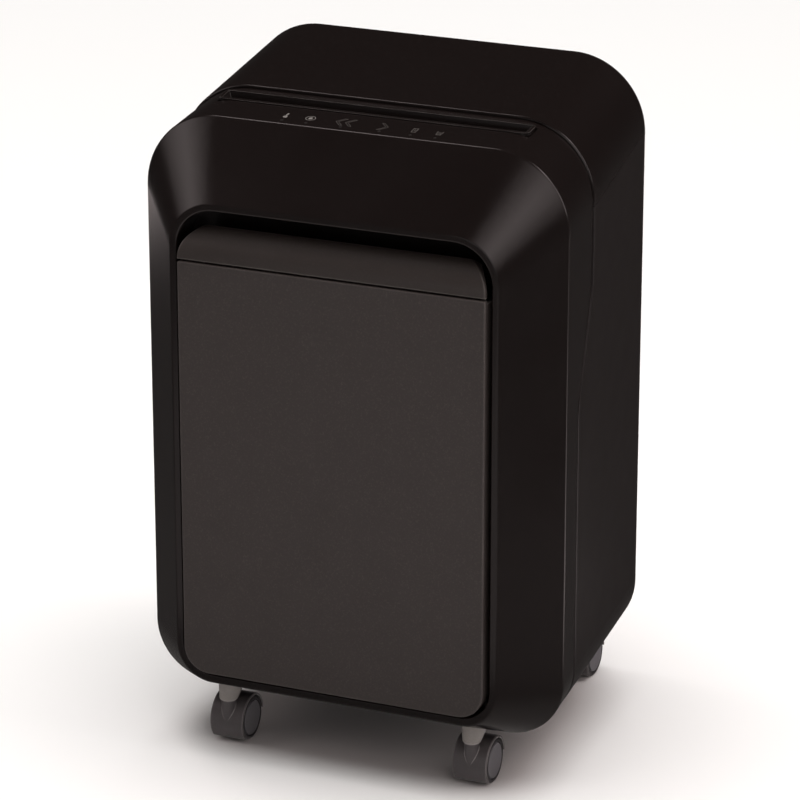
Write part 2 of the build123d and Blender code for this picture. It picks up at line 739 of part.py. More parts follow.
def hollow_shell():
    """Cabinet walls behind the parting line, open at the rear."""
    shell = walls(0, RIDGE_Y, SHELL_REAR_Y)
    shell = fillet(edges_at(shell, SHELL_REAR_Y), RIM_ROUND)
    shell -= front_zone(JOINT_GAP)
    front = PARTING_Y + JOINT_GAP + TOUCH
    shell = fillet([e for e in shell.edges() if max(v.Y for v in e.vertices()) < front], LIP_ROUND)
    return shell - walls(WALL, RIDGE_Y - PASS, SHELL_REAR_Y + PASS)


def make_head_cover():
    return hollow_shell() & above_seam(SEAM_GAP / 2)


def make_cabinet_shell():
    shell = hollow_shell() - above_seam(-SEAM_GAP / 2)
    ledge = walls(WALL / 2, RIDGE_Y, SHELL_REAR_Y)
    ledge -= walls(WALL + LEDGE_WIDTH, RIDGE_Y - PASS, SHELL_REAR_Y + PASS)
    low = DECK_BOTTOM - LEDGE_HEIGHT
    return shell + (ledge & block(-BIG, BIG, PARTING_Y + WALL, SHELL_REAR_Y, low, DECK_BOTTOM))


def rear_shell():
    """Tapered back with its sunk switch panel, without openings."""
    share = JOINT_GAP / (REAR_Y - SHELL_REAR_Y)
    cover = ruled(REAR_START.blend(REAR_FACE, share), SHELL_REAR_Y + JOINT_GAP, REAR_FACE, REAR_Y)
    cover = fillet(edges_at(cover, REAR_Y), REAR_ROUND) - rear_inside(REAR_WALL)
    half_x, half_z, wall = PANEL_WIDTH / 2, PANEL_HEIGHT / 2, REAR_WALL
    back = Pos(PANEL_X, 0, PANEL_Z)
    cover += back * block(
        -half_x - wall, half_x + wall, PANEL_Y - wall, REAR_Y - wall / 2, -half_z - wall, half_z + wall
    )
    return cover - back * block(-half_x, half_x, PANEL_Y, REAR_Y + PASS, -half_z, half_z)


def vent_slots():
    """Air slots through the rear face."""
    slot = extrude(SlotOverall(VENT_LENGTH, VENT_HEIGHT), REAR_WALL + 2 * PASS)
    rows = [VENT_Z + (row - (VENT_COUNT - 1) / 2) * VENT_PITCH for row in range(VENT_COUNT)]
    return [Plane((VENT_X, REAR_Y + PASS, z), x_dir=(1, 0, 0), z_dir=(0, -1, 0)) * slot for z in rows]


def screwed(cover, places):
    """A rear cover with a boss, a hole and a sunk head seat at each screw."""
    for x, z in places:
        cover += rod_y(BOSS_RADIUS, x, BOSS_END_Y + FIT, REAR_INSIDE_Y + PASS, z)
        cover -= rod_y(SCREW_RADIUS + FIT, x, BOSS_END_Y - PASS, REAR_Y, z)
        cover -= rod_y(SCREW_HEAD_RADIUS + FIT, x, COVER_HEAD_Y, REAR_Y + PASS, z)
    return cover


def make_rear_cover():
    cover = rear_shell() & block(-BIG, BIG, -BIG, BIG, 0, DECK_BOTTOM - SEAM_GAP / 2)
    for x in (-STEM_X, STEM_X):
        cover -= Pos(x, REAR_STEM_Y, 0) * socket_block(SOCKET_HOLE_GAP, TRAY_TOP)
    return screwed(cover, tray_screw_places())


def make_rear_head_cover():
    cover = rear_shell() & block(-BIG, BIG, -BIG, BIG, DECK_BOTTOM + SEAM_GAP / 2, BIG)
    for slot in vent_slots():
        cover -= slot
    deep = PANEL_Y - 2 * REAR_WALL
    half_x, half_z = SWITCH_WIDTH / 2 - SWITCH_LIP + FIT, SWITCH_HEIGHT / 2 - SWITCH_LIP + FIT
    cover -= block(ROCKER_X - half_x, ROCKER_X + half_x, deep, REAR_Y, PANEL_Z - half_z, PANEL_Z + half_z)
    cover -= rod_y(BUSH_RADIUS + SEAT, BUSH_X, deep, REAR_Y, PANEL_Z)
    return screwed(cover, deck_screw_places())


def make_rear_cover_screws():
    return [screw_y(x, COVER_HEAD_Y, z) for x, z in deck_screw_places() + tray_screw_places()]


def make_head_deck():
    slab = block(-BIG, BIG, RIDGE_Y + DECK_FRONT_GAP, BIN_REAR_Y, DECK_BOTTOM, DECK_TOP)
    deck = slab & cabinet_inside(FIT)
    half, row = DECK_CHUTE / 2, DISC_ROW / 2
    deck -= block(-row, row, SLOT_Y - half, SLOT_Y + half, DECK_BOTTOM - PASS, DECK_TOP + PASS)
    for x, z in deck_screw_places():
        deck += rod_y(BOSS_RADIUS, x, BIN_REAR_Y - DECK_BOSS, BOSS_END_Y, z)
        deck -= screw_hole_y(x, COVER_HEAD_Y, z)
    for x, y in board_post_places():
        deck += rod_z(BOARD_POST_RADIUS, x, y, DECK_TOP - FUSE, BOARD_Z)
    for x, y in plate_screw_places():
        deck -= rod_z(SCREW_RADIUS + FIT, x, y, DECK_BOTTOM - PASS, DECK_TOP + PASS)
    return deck


def make_base_tray():
    slab = block(-BIG, BIG, SLEEVE_Y, REAR_INSIDE_Y - TRAY_REAR_GAP, TRAY_Z, TRAY_TOP)
    front = ruled(RING.inset(TRAY_FRONT_INSET), RING_Y + WALL, RIDGE.inset(TRAY_FRONT_INSET), RIDGE_Y)
    tray = slab & (cabinet_inside(FIT / 2) + front)
    for x, z in tray_screw_places():
        half, start = LUG_WIDTH / 2, REAR_INSIDE_Y - LUG_DEPTH
        tray += block(x - half, x + half, start, BOSS_END_Y, TRAY_TOP - FUSE, z + LUG_RISE)
        tray -= screw_hole_y(x, COVER_HEAD_Y, z)
    half, depth = BIN_SWITCH_POST / 2, BIN_SWITCH[1]
    top = BUTTON_Z - BIN_SWITCH[2] / 2
    return tray + block(-half, half, BIN_SWITCH_Y, BIN_SWITCH_Y + depth, TRAY_TOP - FUSE, top)


# Paper entry and controls


def make_throat_liner():
    half, wide, top = LINER_LENGTH / 2, LINER_WIDTH / 2, strip_z(SLOT_Y)
    liner = block(-half, half, SLOT_Y - wide, SLOT_Y + wide, top - LINER_DEPTH, BIG / 2)
    liner = fillet(liner.edges().filter_by(Axis.Z), LINER_CORNER)
    liner -= on_strip(0, SLOT_SETBACK) * Pos(0, 0, LINER_PROUD + BIG / 2) * Box(BIG, BIG, BIG)
    mouth = Rectangle(2 * (half - LINER_RIM), 2 * (wide - LINER_RIM))
    throat = Rectangle(THROAT_LENGTH, THROAT_GAP)
    floor = top - FUNNEL_DEPTH
    funnel = loft([Pos(0, SLOT_Y, floor) * throat, Pos(0, SLOT_Y, top + FUNNEL_SPARE) * mouth], ruled=True)
    return liner - funnel - Pos(0, SLOT_Y, floor) * Box(THROAT_LENGTH, THROAT_GAP, 2 * LINER_DEPTH)


def make_paper_sensors():
    length, depth, height = PAPER_SENSOR
    low = strip_z(SLOT_Y) - LINER_DEPTH + PAPER_SENSOR_LIFT
    away = LINER_WIDTH / 2 + FIT / 2 + depth / 2
    place = Pos(0, SLOT_Y, low + height / 2)
    return [place * Pos(0, sign * away, 0) * Box(length, depth, height) for sign in (-1, 1)]


def make_touch_board():
    length = LENS_X[-1] - LENS_X[0] + 2 * TOUCH_BOARD_MARGIN
    mid = (LENS_X[-1] + LENS_X[0]) / 2
    place = on_strip(mid, TOUCH_BOARD_SETBACK) * Pos(0, 0, -TOUCH_BOARD_DROP - BOARD_THICK / 2)
    return place * Box(length, TOUCH_BOARD_WIDTH, BOARD_THICK)


def make_indicator_lenses():
    lens = Pos(0, 0, -TOUCH_BOARD_DROP / 2) * Cylinder(LENS_RADIUS, TOUCH_BOARD_DROP)
    return [on_strip(x, LENS_SETBACK) * lens for x in LENS_X]


# Shredding unit


def side_plate(sign):
    """One upright plate of the shredding unit, notched under the throat liner."""
    x0, x1 = sorted((sign * PLATE_X, sign * PLATE_OUT_X))
    front, rear, top = FRONT_CUTTER_Y - PLATE_FRONT, MOTOR_Y + PLATE_REAR, CUTTER_Z + PLATE_RISE
    cut = PLATE_CHAMFER
    shape = polygon((front, DECK_TOP), (front, top - cut), (front + cut, top), (rear, top), (rear, DECK_TOP))
    plate = plate_x(shape, x0, x1)
    for y in (FRONT_CUTTER_Y, REAR_CUTTER_Y):
        plate -= rod_x(BEARING_RADIUS + SEAT, x0 - PASS, x1 + PASS, y, CUTTER_Z)
    for x, y in plate_screw_places():
        plate -= rod_z(SCREW_RADIUS + SEAT, x, y, DECK_TOP - PASS, DECK_BOTTOM + SCREW_LENGTH + SCREW_TIP_GAP)
    wide, low = LINER_WIDTH / 2 + FIT, strip_z(SLOT_Y) - LINER_DEPTH - FIT
    return plate - block(x0 - PASS, x1 + PASS, SLOT_Y - wide, SLOT_Y + wide, low, BIG)


def make_left_side_plate():
    return side_plate(-1)


def make_right_side_plate():
    plate = side_plate(1)
    start, end = PLATE_X - PASS, PLATE_OUT_X + PASS
    plate -= rod_x(MOTOR_SHAFT + MOTOR_SHAFT_HOLE, start, end, MOTOR_Y, MOTOR_Z)
    return plate - rod_x(IDLER_RADIUS + SEAT, start, end, IDLER_Y, IDLER_Z)


def make_tie_rods():
    return [rod_x(TIE_RADIUS, -PLATE_X, PLATE_X, y, z) for y, z in tie_places()]


def make_plate_screws():
    head = rod_z(SCREW_HEAD_RADIUS, 0, 0, DECK_BOTTOM - SCREW_HEAD, DECK_BOTTOM)
    screw = head + rod_z(SCREW_RADIUS, 0, 0, DECK_BOTTOM - FUSE, DECK_BOTTOM + SCREW_LENGTH)
    return [Pos(x, y, 0) * screw for x, y in plate_screw_places()]


def make_cutter_bearings():
    rings = []
    for sign in (-1, 1):
        seat = sorted((sign * PLATE_X, sign * PLATE_OUT_X))
        flange = sorted((sign * PLATE_OUT_X, sign * (PLATE_OUT_X + BEARING_FLANGE)))
        ring = rod_x(BEARING_RADIUS, *seat, 0, CUTTER_Z)
        ring += rod_x(BEARING_RADIUS + BEARING_FLANGE_RIM, *flange, 0, CUTTER_Z)
        ring -= rod_x(JOURNAL_RADIUS + RUNNING, -BIG, BIG, 0, CUTTER_Z)
        rings += [Pos(0, y, 0) * ring for y in (FRONT_CUTTER_Y, REAR_CUTTER_Y)]
    return rings


def stripper(side, first):
    """A comb under one cutter; its fingers reach up between the discs."""
    y = SLOT_Y + side * (CUTTER_SPACING / 2 + STRIPPER_SHIFT)
    half, reach = STRIPPER_WIDTH / 2, STRIPPER_WIDTH / 2 - FINGER_INSET
    comb = block(-PLATE_X, PLATE_X, y - half, y + half, STRIPPER_Z, STRIPPER_Z + STRIPPER_THICK)
    top = CUTTER_Z - CORE_RADIUS - FINGER_GAP
    thick = FINGER_WIDTH / 2
    finger = block(-thick, thick, y - reach, y + reach, STRIPPER_Z + FUSE, top)
    for index in range(DISC_COUNT - 1):
        comb += Pos(first + (index + 0.5) * DISC_PITCH, 0, 0) * finger
    return comb


def make_front_stripper():
    return stripper(-1, FRONT_DISC_X)


def make_rear_stripper():
    return stripper(1, REAR_DISC_X)


def cutter(y, first, sense):
    """A shaft with its row of notched discs and plain journals at both ends."""
    shaft = rod_x(JOURNAL_RADIUS, -PLATE_OUT_X - JOURNAL_END, GEAR_END_X, y, CUTTER_Z)
    end = PLATE_X - CORE_END_GAP
    shaft += rod_x(CORE_RADIUS, -end, end, y, CUTTER_Z)
    tip = DISC_RADIUS + PASS
    notch = polygon((DISC_RADIUS - NOTCH_DEPTH, 0), (tip, 0), (tip, sense * NOTCH_LENGTH))
    disc = Circle(DISC_RADIUS)
    for index in range(DISC_NOTCHES):
        disc -= Rot(0, 0, 360 * index / DISC_NOTCHES) * notch
    blade = Pos(0, y, CUTTER_Z) * plate_x(disc, -DISC_THICK / 2, DISC_THICK / 2)
    for index in range(DISC_COUNT):
        shaft += Pos(first + index * DISC_PITCH, 0, 0) * blade
    return shaft


def make_front_cutter():
    return cutter(FRONT_CUTTER_Y, FRONT_DISC_X, 1)


def make_rear_cutter():
    return cutter(REAR_CUTTER_Y, REAR_DISC_X, -1)


# Gear train


def involute(angle):
    """Angle swept by an involute at a pressure angle."""
    return tan(angle) - angle


def gear_face(module, teeth, phase):
    """A spur gear outline with one tooth in the given direction, in degrees."""
    pitch = module * teeth / 2
    base = pitch * cos(radians(PRESSURE_ANGLE))
    tip, root = pitch + TOOTH_HEIGHT * module, pitch - TOOTH_ROOT * module
    half = (pi * module / 2 - BACKLASH / 2) / (2 * pitch) + involute(radians(PRESSURE_ANGLE))
    start = max(base, root)
    radii = [start + (tip - start) * step / FLANK_STEPS for step in range(FLANK_STEPS + 1)]
    flank = [(r, half - involute(acos(min(1.0, base / r)))) for r in radii]
    if root < start:
        flank.insert(0, (root, flank[0][1]))
    points = []
    for tooth in range(teeth):
        middle = radians(phase) + 2 * pi * tooth / teeth
        sides = [(r, middle - a) for r, a in flank] + [(r, middle + a) for r, a in reversed(flank)]
        points += [(r * cos(a), r * sin(a)) for r, a in sides]
    return polygon(*points)


def mate_phase(direction, teeth, phase, mate_teeth):
    """Tooth direction of a gear that lies in the given direction from another and meshes with it."""
    share = (direction - phase) * teeth / 360
    return direction + 180 - (0.5 - share) * 360 / mate_teeth


def cutter_gear(y, phase):
    gear = plate_x(gear_face(CUTTER_MODULE, CUTTER_TEETH, phase), GEAR_X, GEAR_END_X)
    gear -= rod_x(JOURNAL_RADIUS + SEAT, GEAR_X - PASS, GEAR_END_X + PASS, 0, 0)
    return Pos(0, y, CUTTER_Z) * gear


def make_rear_cutter_gear():
    return cutter_gear(REAR_CUTTER_Y, 0)


def make_front_cutter_gear():
    return cutter_gear(FRONT_CUTTER_Y, mate_phase(180, CUTTER_TEETH, 0, CUTTER_TEETH))


def make_idler_gear():
    phase = mate_phase(IDLER_BEARING, CUTTER_TEETH, 0, PINION_TEETH)
    gear = plate_x(gear_face(CUTTER_MODULE, PINION_TEETH, phase), GEAR_X, WHEEL_X + FUSE)
    gear += plate_x(gear_face(WHEEL_MODULE, WHEEL_TEETH, 0), WHEEL_X, WHEEL_END_X)
    gear -= rod_x(IDLER_RADIUS + RUNNING, GEAR_X - PASS, WHEEL_END_X + PASS, 0, 0)
    return Pos(0, IDLER_Y, IDLER_Z) * gear


def make_idler_axle():
    axle = rod_x(IDLER_RADIUS, PLATE_X, GEAR_PLATE_X + GEAR_PLATE_THICK, IDLER_Y, IDLER_Z)
    return axle + rod_x(IDLER_RADIUS + IDLER_COLLAR, PLATE_OUT_X, GEAR_X - FIT, IDLER_Y, IDLER_Z)


def make_motor_pinion():
    phase = mate_phase(MOTOR_BEARING, WHEEL_TEETH, 0, MOTOR_TEETH)
    start = WHEEL_X - PINION_OVERHANG
    teeth = gear_face(WHEEL_MODULE, MOTOR_TEETH, phase)
    pinion = plate_x(teeth, start, WHEEL_END_X + PINION_OVERHANG)
    shaft = rod_x(MOTOR_SHAFT, PLATE_X - MOTOR_SHAFT_DEPTH, start + FUSE, 0, 0)
    return Pos(0, MOTOR_Y, MOTOR_Z) * (pinion + shaft)


def make_gear_plate():
    rims = [Pos(y, z) * Circle(POST_RADIUS + GEAR_PLATE_RIM) for y, z in post_places()]
    rims.append(Pos(IDLER_Y, IDLER_Z) * Circle(IDLER_RADIUS + 2 * GEAR_PLATE_RIM))
    outline = make_hull([edge for rim in rims for edge in rim.edges()])
    end = GEAR_PLATE_X + GEAR_PLATE_THICK
    plate = plate_x(outline, GEAR_PLATE_X, end)
    for y, z in post_places():
        plate += rod_x(POST_RADIUS, PLATE_OUT_X, GEAR_PLATE_X + FUSE, y, z)
    return plate - rod_x(IDLER_RADIUS + SEAT, GEAR_PLATE_X - PASS, end + PASS, IDLER_Y, IDLER_Z)


def make_motor():
    rear = MOTOR_END_X + MOTOR_HUB
    body = rod_x(MOTOR_RADIUS, rear + MOTOR_CAP_REAR, PLATE_X - MOTOR_CAP_FRONT, MOTOR_Y, MOTOR_Z)
    body += rod_x(MOTOR_RADIUS - MOTOR_CAP_STEP, rear, PLATE_X, MOTOR_Y, MOTOR_Z)
    body += rod_x(MOTOR_HUB_RADIUS, MOTOR_END_X, rear + FUSE, MOTOR_Y, MOTOR_Z)
    depth = MOTOR_SHAFT_DEPTH + PASS
    return body - rod_x(MOTOR_SHAFT + RUNNING, PLATE_X - depth, PLATE_X + PASS, MOTOR_Y, MOTOR_Z)


def make_motor_cradle():
    x0 = PLATE_X - MOTOR_LENGTH / 2 - CRADLE_WIDTH / 2
    x1, half = x0 + CRADLE_WIDTH, CRADLE_SPAN / 2
    cradle = block(x0, x1, MOTOR_Y - half, MOTOR_Y + half, DECK_TOP, MOTOR_Z - CRADLE_SHARE * MOTOR_RADIUS)
    return cradle - rod_x(MOTOR_RADIUS + FIT, x0 - PASS, x1 + PASS, MOTOR_Y, MOTOR_Z)


def make_control_board():
    board = block(BOARD_X0, BOARD_X1, BOARD_Y0, BOARD_Y1, BOARD_Z, BOARD_Z + BOARD_THICK)
    top, mid = BOARD_Z + BOARD_THICK, (BOARD_Y0 + BOARD_Y1) / 2
    places = [
        (TRANSFORMER, BOARD_X0 + PARTS_EDGE + TRANSFORMER[0] / 2, mid),
        (RELAY, BOARD_X1 - PARTS_EDGE - RELAY[0] / 2, mid + PARTS_GAP + RELAY[1] / 2),
        (HEATSINK, BOARD_X1 - PARTS_EDGE - HEATSINK[0] / 2, mid - PARTS_GAP - HEATSINK[1] / 2),
    ]
    return [board] + [Pos(x, y, top + size[2] / 2) * Box(*size) for size, x, y in places]


# Casters, drawn with the stem on the Z axis


def socket_block(gap, end):
    """A leaning socket up to a height, with a gap round it."""
    cone_top = SOCKET_FOOT + SOCKET_CONE
    foot = Pos(0, 0, SOCKET_FOOT) * Circle(SOCKET_FOOT_RADIUS + gap)
    head = Pos(0, SOCKET_LEAN, cone_top) * Circle(SOCKET_RADIUS + gap)
    return loft([foot, head], ruled=True) + rod_z(SOCKET_RADIUS + gap, 0, SOCKET_LEAN, cone_top - FUSE, end)


def make_caster_sockets():
    socket = socket_block(0, TRAY_Z)
    socket = fillet(socket.edges().sort_by(Axis.Z)[0], SOCKET_ROUND)
    socket -= rod_z(STEM_RADIUS + RUNNING, 0, 0, SOCKET_FOOT - PASS, SOCKET_FOOT + STEM_GRIP + STEM_END_GAP)
    return [Pos(x, y, 0) * socket for x, y in caster_places().values()]


def make_caster_hood():
    half = CASTER_WIDTH / 2
    hood = rod_x(HOOD_RADIUS, -half, half, CASTER_TRAIL, AXLE_Z)
    hood = fillet(hood.edges().filter_by(GeomType.CIRCLE), HOOD_ROUND)
    for sign in (-1, 1):
        side = sorted((sign * CASTER_WEB / 2, sign * (half + PASS)))
        hood -= rod_x(HOOD_INSIDE, *side, CASTER_TRAIL, AXLE_Z)
    below = Rot(HOOD_CUT_TILT, 0, 0) * Pos(0, 0, -BIG / 2) * Box(BIG, BIG, BIG)
    hood -= Pos(0, CASTER_TRAIL, AXLE_Z - HOOD_CUT_DROP) * below
    foot = AXLE_Z - NECK_FOOT_DROP
    neck = Pos(0, 0, (foot + NECK_TOP) / 2) * Cone(NECK_FOOT_RADIUS, NECK_TOP_RADIUS, NECK_TOP - foot)
    hood += neck - rod_x(HOOD_INSIDE, -half, half, CASTER_TRAIL, AXLE_Z)
    hood += rod_x(WEB_RADIUS, -CASTER_WEB / 2, CASTER_WEB / 2, CASTER_TRAIL, AXLE_Z)
    hood -= rod_x(AXLE_RADIUS + SEAT, -half, half, CASTER_TRAIL, AXLE_Z)
    return hood - rod_z(STEM_RADIUS + SEAT, 0, 0, STEM_FOOT, NECK_TOP + PASS)


def make_caster_pins():
    half = CASTER_WIDTH / 2 - WHEEL_CAP - AXLE_END_GAP
    stem = rod_z(STEM_RADIUS, 0, 0, STEM_FOOT, SOCKET_FOOT + STEM_GRIP)
    return [stem, rod_x(AXLE_RADIUS, -half, half, CASTER_TRAIL, AXLE_Z)]


def make_caster_wheel(sign):
    inner, outer = CASTER_WEB / 2 + WHEEL_SIDE_GAP, CASTER_WIDTH / 2 - WHEEL_FACE_INSET
    wheel = rod_x(CASTER_WHEEL / 2, inner, outer, 0, 0)
    wheel = fillet(wheel.edges().filter_by(GeomType.CIRCLE), WHEEL_ROUND)
    start = outer - WHEEL_GROOVE_DEPTH
    groove = rod_x(WHEEL_DISC + WHEEL_GROOVE, start, outer + PASS, 0, 0)
    wheel -= groove - rod_x(WHEEL_DISC, start - PASS, outer + 2 * PASS, 0, 0)
    wheel -= rod_x(AXLE_RADIUS + RUNNING, inner - PASS, CASTER_WIDTH / 2 - WHEEL_CAP, 0, 0)
    wheel = Pos(0, CASTER_TRAIL, AXLE_Z) * wheel
    return wheel if sign > 0 else mirror(wheel, Plane.YZ)


# Bin and door


def make_runner(sign):
    guide = BIN_HALF + RUNNER_GUIDE - BIN_DRAFT * (1 - RUNNER_HEIGHT / (BIN_TOP - BIN_Z))
    outer, start = guide + RUNNER_WALL, SLEEVE_Y + PASS
    runner = block(guide - RUNNER_FOOT, outer, start, BIN_REAR_Y, TRAY_TOP, BIN_Z - FIT)
    runner += block(guide, outer, start, BIN_REAR_Y, TRAY_TOP, BIN_Z + RUNNER_HEIGHT)
    return runner if sign > 0 else mirror(runner, Plane.YZ)


def make_left_runner():
    return make_runner(-1)


def make_right_runner():
    return make_runner(1)


def bin_plan(z, inset, draft):
    """The bin's plan at a height, drawn in by an inset and by the draft of its walls."""
    drawn = 2 * (inset + draft)
    plan = RectangleRounded(2 * BIN_HALF - drawn, BIN_REAR_Y - BIN_FRONT_Y - drawn, BIN_CORNER - inset)
    return Pos(0, (BIN_FRONT_Y + BIN_REAR_Y) / 2, z) * plan


def bin_block(low, high, inset, round_edge):
    """The bin as a full block with a rounded underside."""
    solid = loft([bin_plan(low, inset, BIN_DRAFT), bin_plan(high, inset, 0)], ruled=True)
    return fillet(solid.faces().sort_by(Axis.Z)[0].edges(), round_edge)


def make_bin_tub():
    tub = bin_block(BIN_Z, BIN_TOP, 0, BIN_FLOOR_ROUND)
    tub += extrude(bin_plan(BIN_TOP - BIN_RIM_THICK, -BIN_RIM, 0), BIN_RIM_THICK)
    tub -= bin_block(BIN_Z + BIN_WALL, BIN_TOP + PASS, BIN_WALL, BIN_FLOOR_ROUND - BIN_WALL)
    for x, z in door_screw_places():
        tub -= rod_y(SCREW_RADIUS + FIT, x, BIN_FRONT_Y - PASS, bin_front_at(z) + 2 * BIN_WALL, z)
    return tub


def door_head_y(z):
    """Underside of a door screw's head, inside the bin's front wall."""
    return bin_front_at(z - SCREW_HEAD_RADIUS) + BIN_WALL + SEAT


def make_door_panel():
    radius = OPENING.bottom_radius - DOOR_GAP
    outline = Outline(DOOR_HALF, SILL_Z + DOOR_GAP, DOOR_TOP, DOOR_TOP_RADIUS, radius)
    back = FRONT_Y + DOOR_PLATE
    panel = ruled(outline, FRONT_Y, outline, FRONT_Y + DOOR_SKIRT)
    panel = fillet(edges_at(panel, FRONT_Y), DOOR_EDGE)
    inner = outline.inset(DOOR_SKIRT_WALL)
    panel -= ruled(inner, back, inner, FRONT_Y + DOOR_SKIRT + PASS)
    panel -= block(-BIG, BIG, back, BIG, DOOR_TOP - DOOR_SKIRT_WALL - PASS, DOOR_TOP + PASS)
    for x, z in door_screw_places():
        end = bin_front_at(z + DOOR_BOSS_RADIUS) - FIT / 2
        panel += rod_y(DOOR_BOSS_RADIUS, x, back - FUSE, end, z)
        panel -= screw_hole_y(x, door_head_y(z), z)
    return panel


def make_door_screws():
    return [screw_y(x, door_head_y(z), z) for x, z in door_screw_places()]


def grip_section():
    """The rolled strip of the grip, seen from the side."""
    axis_y, inner = FRONT_Y + GRIP_ROLL, GRIP_ROLL - GRIP_WALL
    outer_arc = [polar(axis_y, GRIP_LOW, GRIP_ROLL, 180 - GRIP_ANGLE * share) for share in (0, 0.5, 1)]
    inner_arc = [polar(axis_y, GRIP_LOW, inner, 180 - GRIP_ANGLE * share) for share in (0, 0.5, 1)]
    edges = [
        ThreePointArc(*outer_arc),
        Line(outer_arc[2], inner_arc[2]),
        ThreePointArc(*inner_arc),
        Line(inner_arc[0], outer_arc[0]),
    ]
    return make_face(edges)


def make_door_grip():
    grip = plate_x(grip_section(), -DOOR_HALF, DOOR_HALF)
    outline = Outline(DOOR_HALF, GRIP_LOW - GRIP_CORNER, GRIP_TOP + FUSE, GRIP_CORNER, DOOR_TOP_RADIUS)
    grip &= ruled(outline, FRONT_Y - PASS, outline, FRONT_Y + 2 * GRIP_ROLL)
    roll = grip.faces().filter_by(GeomType.CYLINDER).sort_by(Axis.Y)[0]
    grip = fillet([e for e in roll.edges() if e.center().Z < GRIP_TOP - TOUCH], GRIP_EDGE)
    half, start = DOOR_HALF - GRIP_TONGUE_INSET, FRONT_Y + DOOR_PLATE + FIT
    end = start + GRIP_TONGUE_WALL
    grip += block(-half, half, start, end, GRIP_LOW - GRIP_TONGUE, GRIP_LOW + GRIP_SHELF)
    return grip + block(-half, half, FRONT_Y + GRIP_WALL - FUSE, end, GRIP_LOW, GRIP_LOW + GRIP_SHELF)


# Switches and cord entry


def make_bin_switch():
    length, depth, height = BIN_SWITCH
    body = Pos(0, BIN_SWITCH_Y + depth / 2, BUTTON_Z) * Box(length, depth, height)
    start, end = BIN_SWITCH_Y - PASS, BIN_SWITCH_Y + BUTTON_DEPTH
    return body - rod_y(BUTTON_RADIUS + RUNNING, 0, start, end, BUTTON_Z)


def make_bin_switch_button():
    start = bin_rear_at(BUTTON_Z + BUTTON_RADIUS) + FIT
    end = BIN_SWITCH_Y + BUTTON_DEPTH - BUTTON_TRAVEL - FIT
    return rod_y(BUTTON_RADIUS, 0, start, end, BUTTON_Z)


def make_switch_housing():
    half_x, half_z = SWITCH_WIDTH / 2, SWITCH_HEIGHT / 2
    housing = block(-half_x, half_x, 0, SWITCH_FLANGE, -half_z, half_z)
    body_x, body_z = half_x - SWITCH_LIP, half_z - SWITCH_LIP
    housing += block(-body_x, body_x, -SWITCH_DEPTH, FUSE, -body_z, body_z)
    inside = ROCKER_WIDTH / 2 + ROCKER_GAP
    reach = sqrt((ROCKER_LENGTH / 2) ** 2 + ROCKER_FRONT**2) + ROCKER_GAP
    deep = -ROCKER_SINK - reach * sin(radians(ROCKER_TILT)) - ROCKER_BACK - ROCKER_DISH - ROCKER_GAP
    housing -= block(-inside, inside, deep, SWITCH_FLANGE + PASS, -reach, reach)
    pin = inside + ROCKER_PIN_REACH
    housing -= rod_x(ROCKER_PIN + RUNNING, -pin, pin, -ROCKER_SINK, 0)
    return Pos(ROCKER_X, PANEL_Y, PANEL_Z) * housing


def make_rocker_button():
    half, front, back = ROCKER_LENGTH / 2, ROCKER_FRONT, -ROCKER_BACK
    face, keel = (front - ROCKER_DISH, 0), (back - ROCKER_DISH, 0)
    shape = polygon((back, -half), (front, -half), face, (front, half), (back, half), keel)
    button = plate_x(shape, -ROCKER_WIDTH / 2, ROCKER_WIDTH / 2)
    pin = ROCKER_WIDTH / 2 + ROCKER_PIN_REACH
    button += rod_x(ROCKER_PIN, -pin, pin, 0, 0)
    return Pos(ROCKER_X, ROCKER_Y, PANEL_Z) * Rot(ROCKER_TILT, 0, 0) * button


def make_cord_bush():
    end = PANEL_Y + BUSH_FLANGE_THICK
    bush = rod_y(BUSH_RADIUS, BUSH_X, end - BUSH_LENGTH, PANEL_Y + FUSE, PANEL_Z)
    bush += rod_y(BUSH_FLANGE, BUSH_X, PANEL_Y, end, PANEL_Z)
    return bush - rod_y(CORD_BORE, BUSH_X, end - BUSH_LENGTH - PASS, end + PASS, PANEL_Z)


# Writing the pieces

PIECES = {
    "front_fascia": make_front_fascia,
    "head_cover": make_head_cover,
    "cabinet_shell": make_cabinet_shell,
    "rear_cover": make_rear_cover,
    "rear_head_cover": make_rear_head_cover,
    "rear_cover_screws": make_rear_cover_screws,
    "base_tray": make_base_tray,
    "head_deck": make_head_deck,
    "throat_liner": make_throat_liner,
    "paper_sensors": make_paper_sensors,
    "touch_board": make_touch_board,
    "indicator_lenses": make_indicator_lenses,
    "left_side_plate": make_left_side_plate,
    "right_side_plate": make_right_side_plate,
    "tie_rods": make_tie_rods,
    "plate_screws": make_plate_screws,
    "cutter_bearings": make_cutter_bearings,
    "front_stripper": make_front_stripper,
    "rear_stripper": make_rear_stripper,
    "front_cutter": make_front_cutter,
    "rear_cutter": make_rear_cutter,
    "front_cutter_gear": make_front_cutter_gear,
    "rear_cutter_gear": make_rear_cutter_gear,
    "idler_gear": make_idler_gear,
    "idler_axle": make_idler_axle,
    "motor_pinion": make_motor_pinion,
    "gear_plate": make_gear_plate,
    "motor": make_motor,
    "motor_cradle": make_motor_cradle,
    "control_board": make_control_board,
    "caster_sockets": make_caster_sockets,
    "left_runner": make_left_runner,
    "right_runner": make_right_runner,
    "bin_tub": make_bin_tub,
    "door_panel": make_door_panel,
    "door_screws": make_door_screws,
    "door_grip": make_door_grip,
    "bin_switch": make_bin_switch,
    "bin_switch_button": make_bin_switch_button,
    "switch_housing": make_switch_housing,
    "rocker_button": make_rocker_button,
    "cord_bush": make_cord_bush,
}


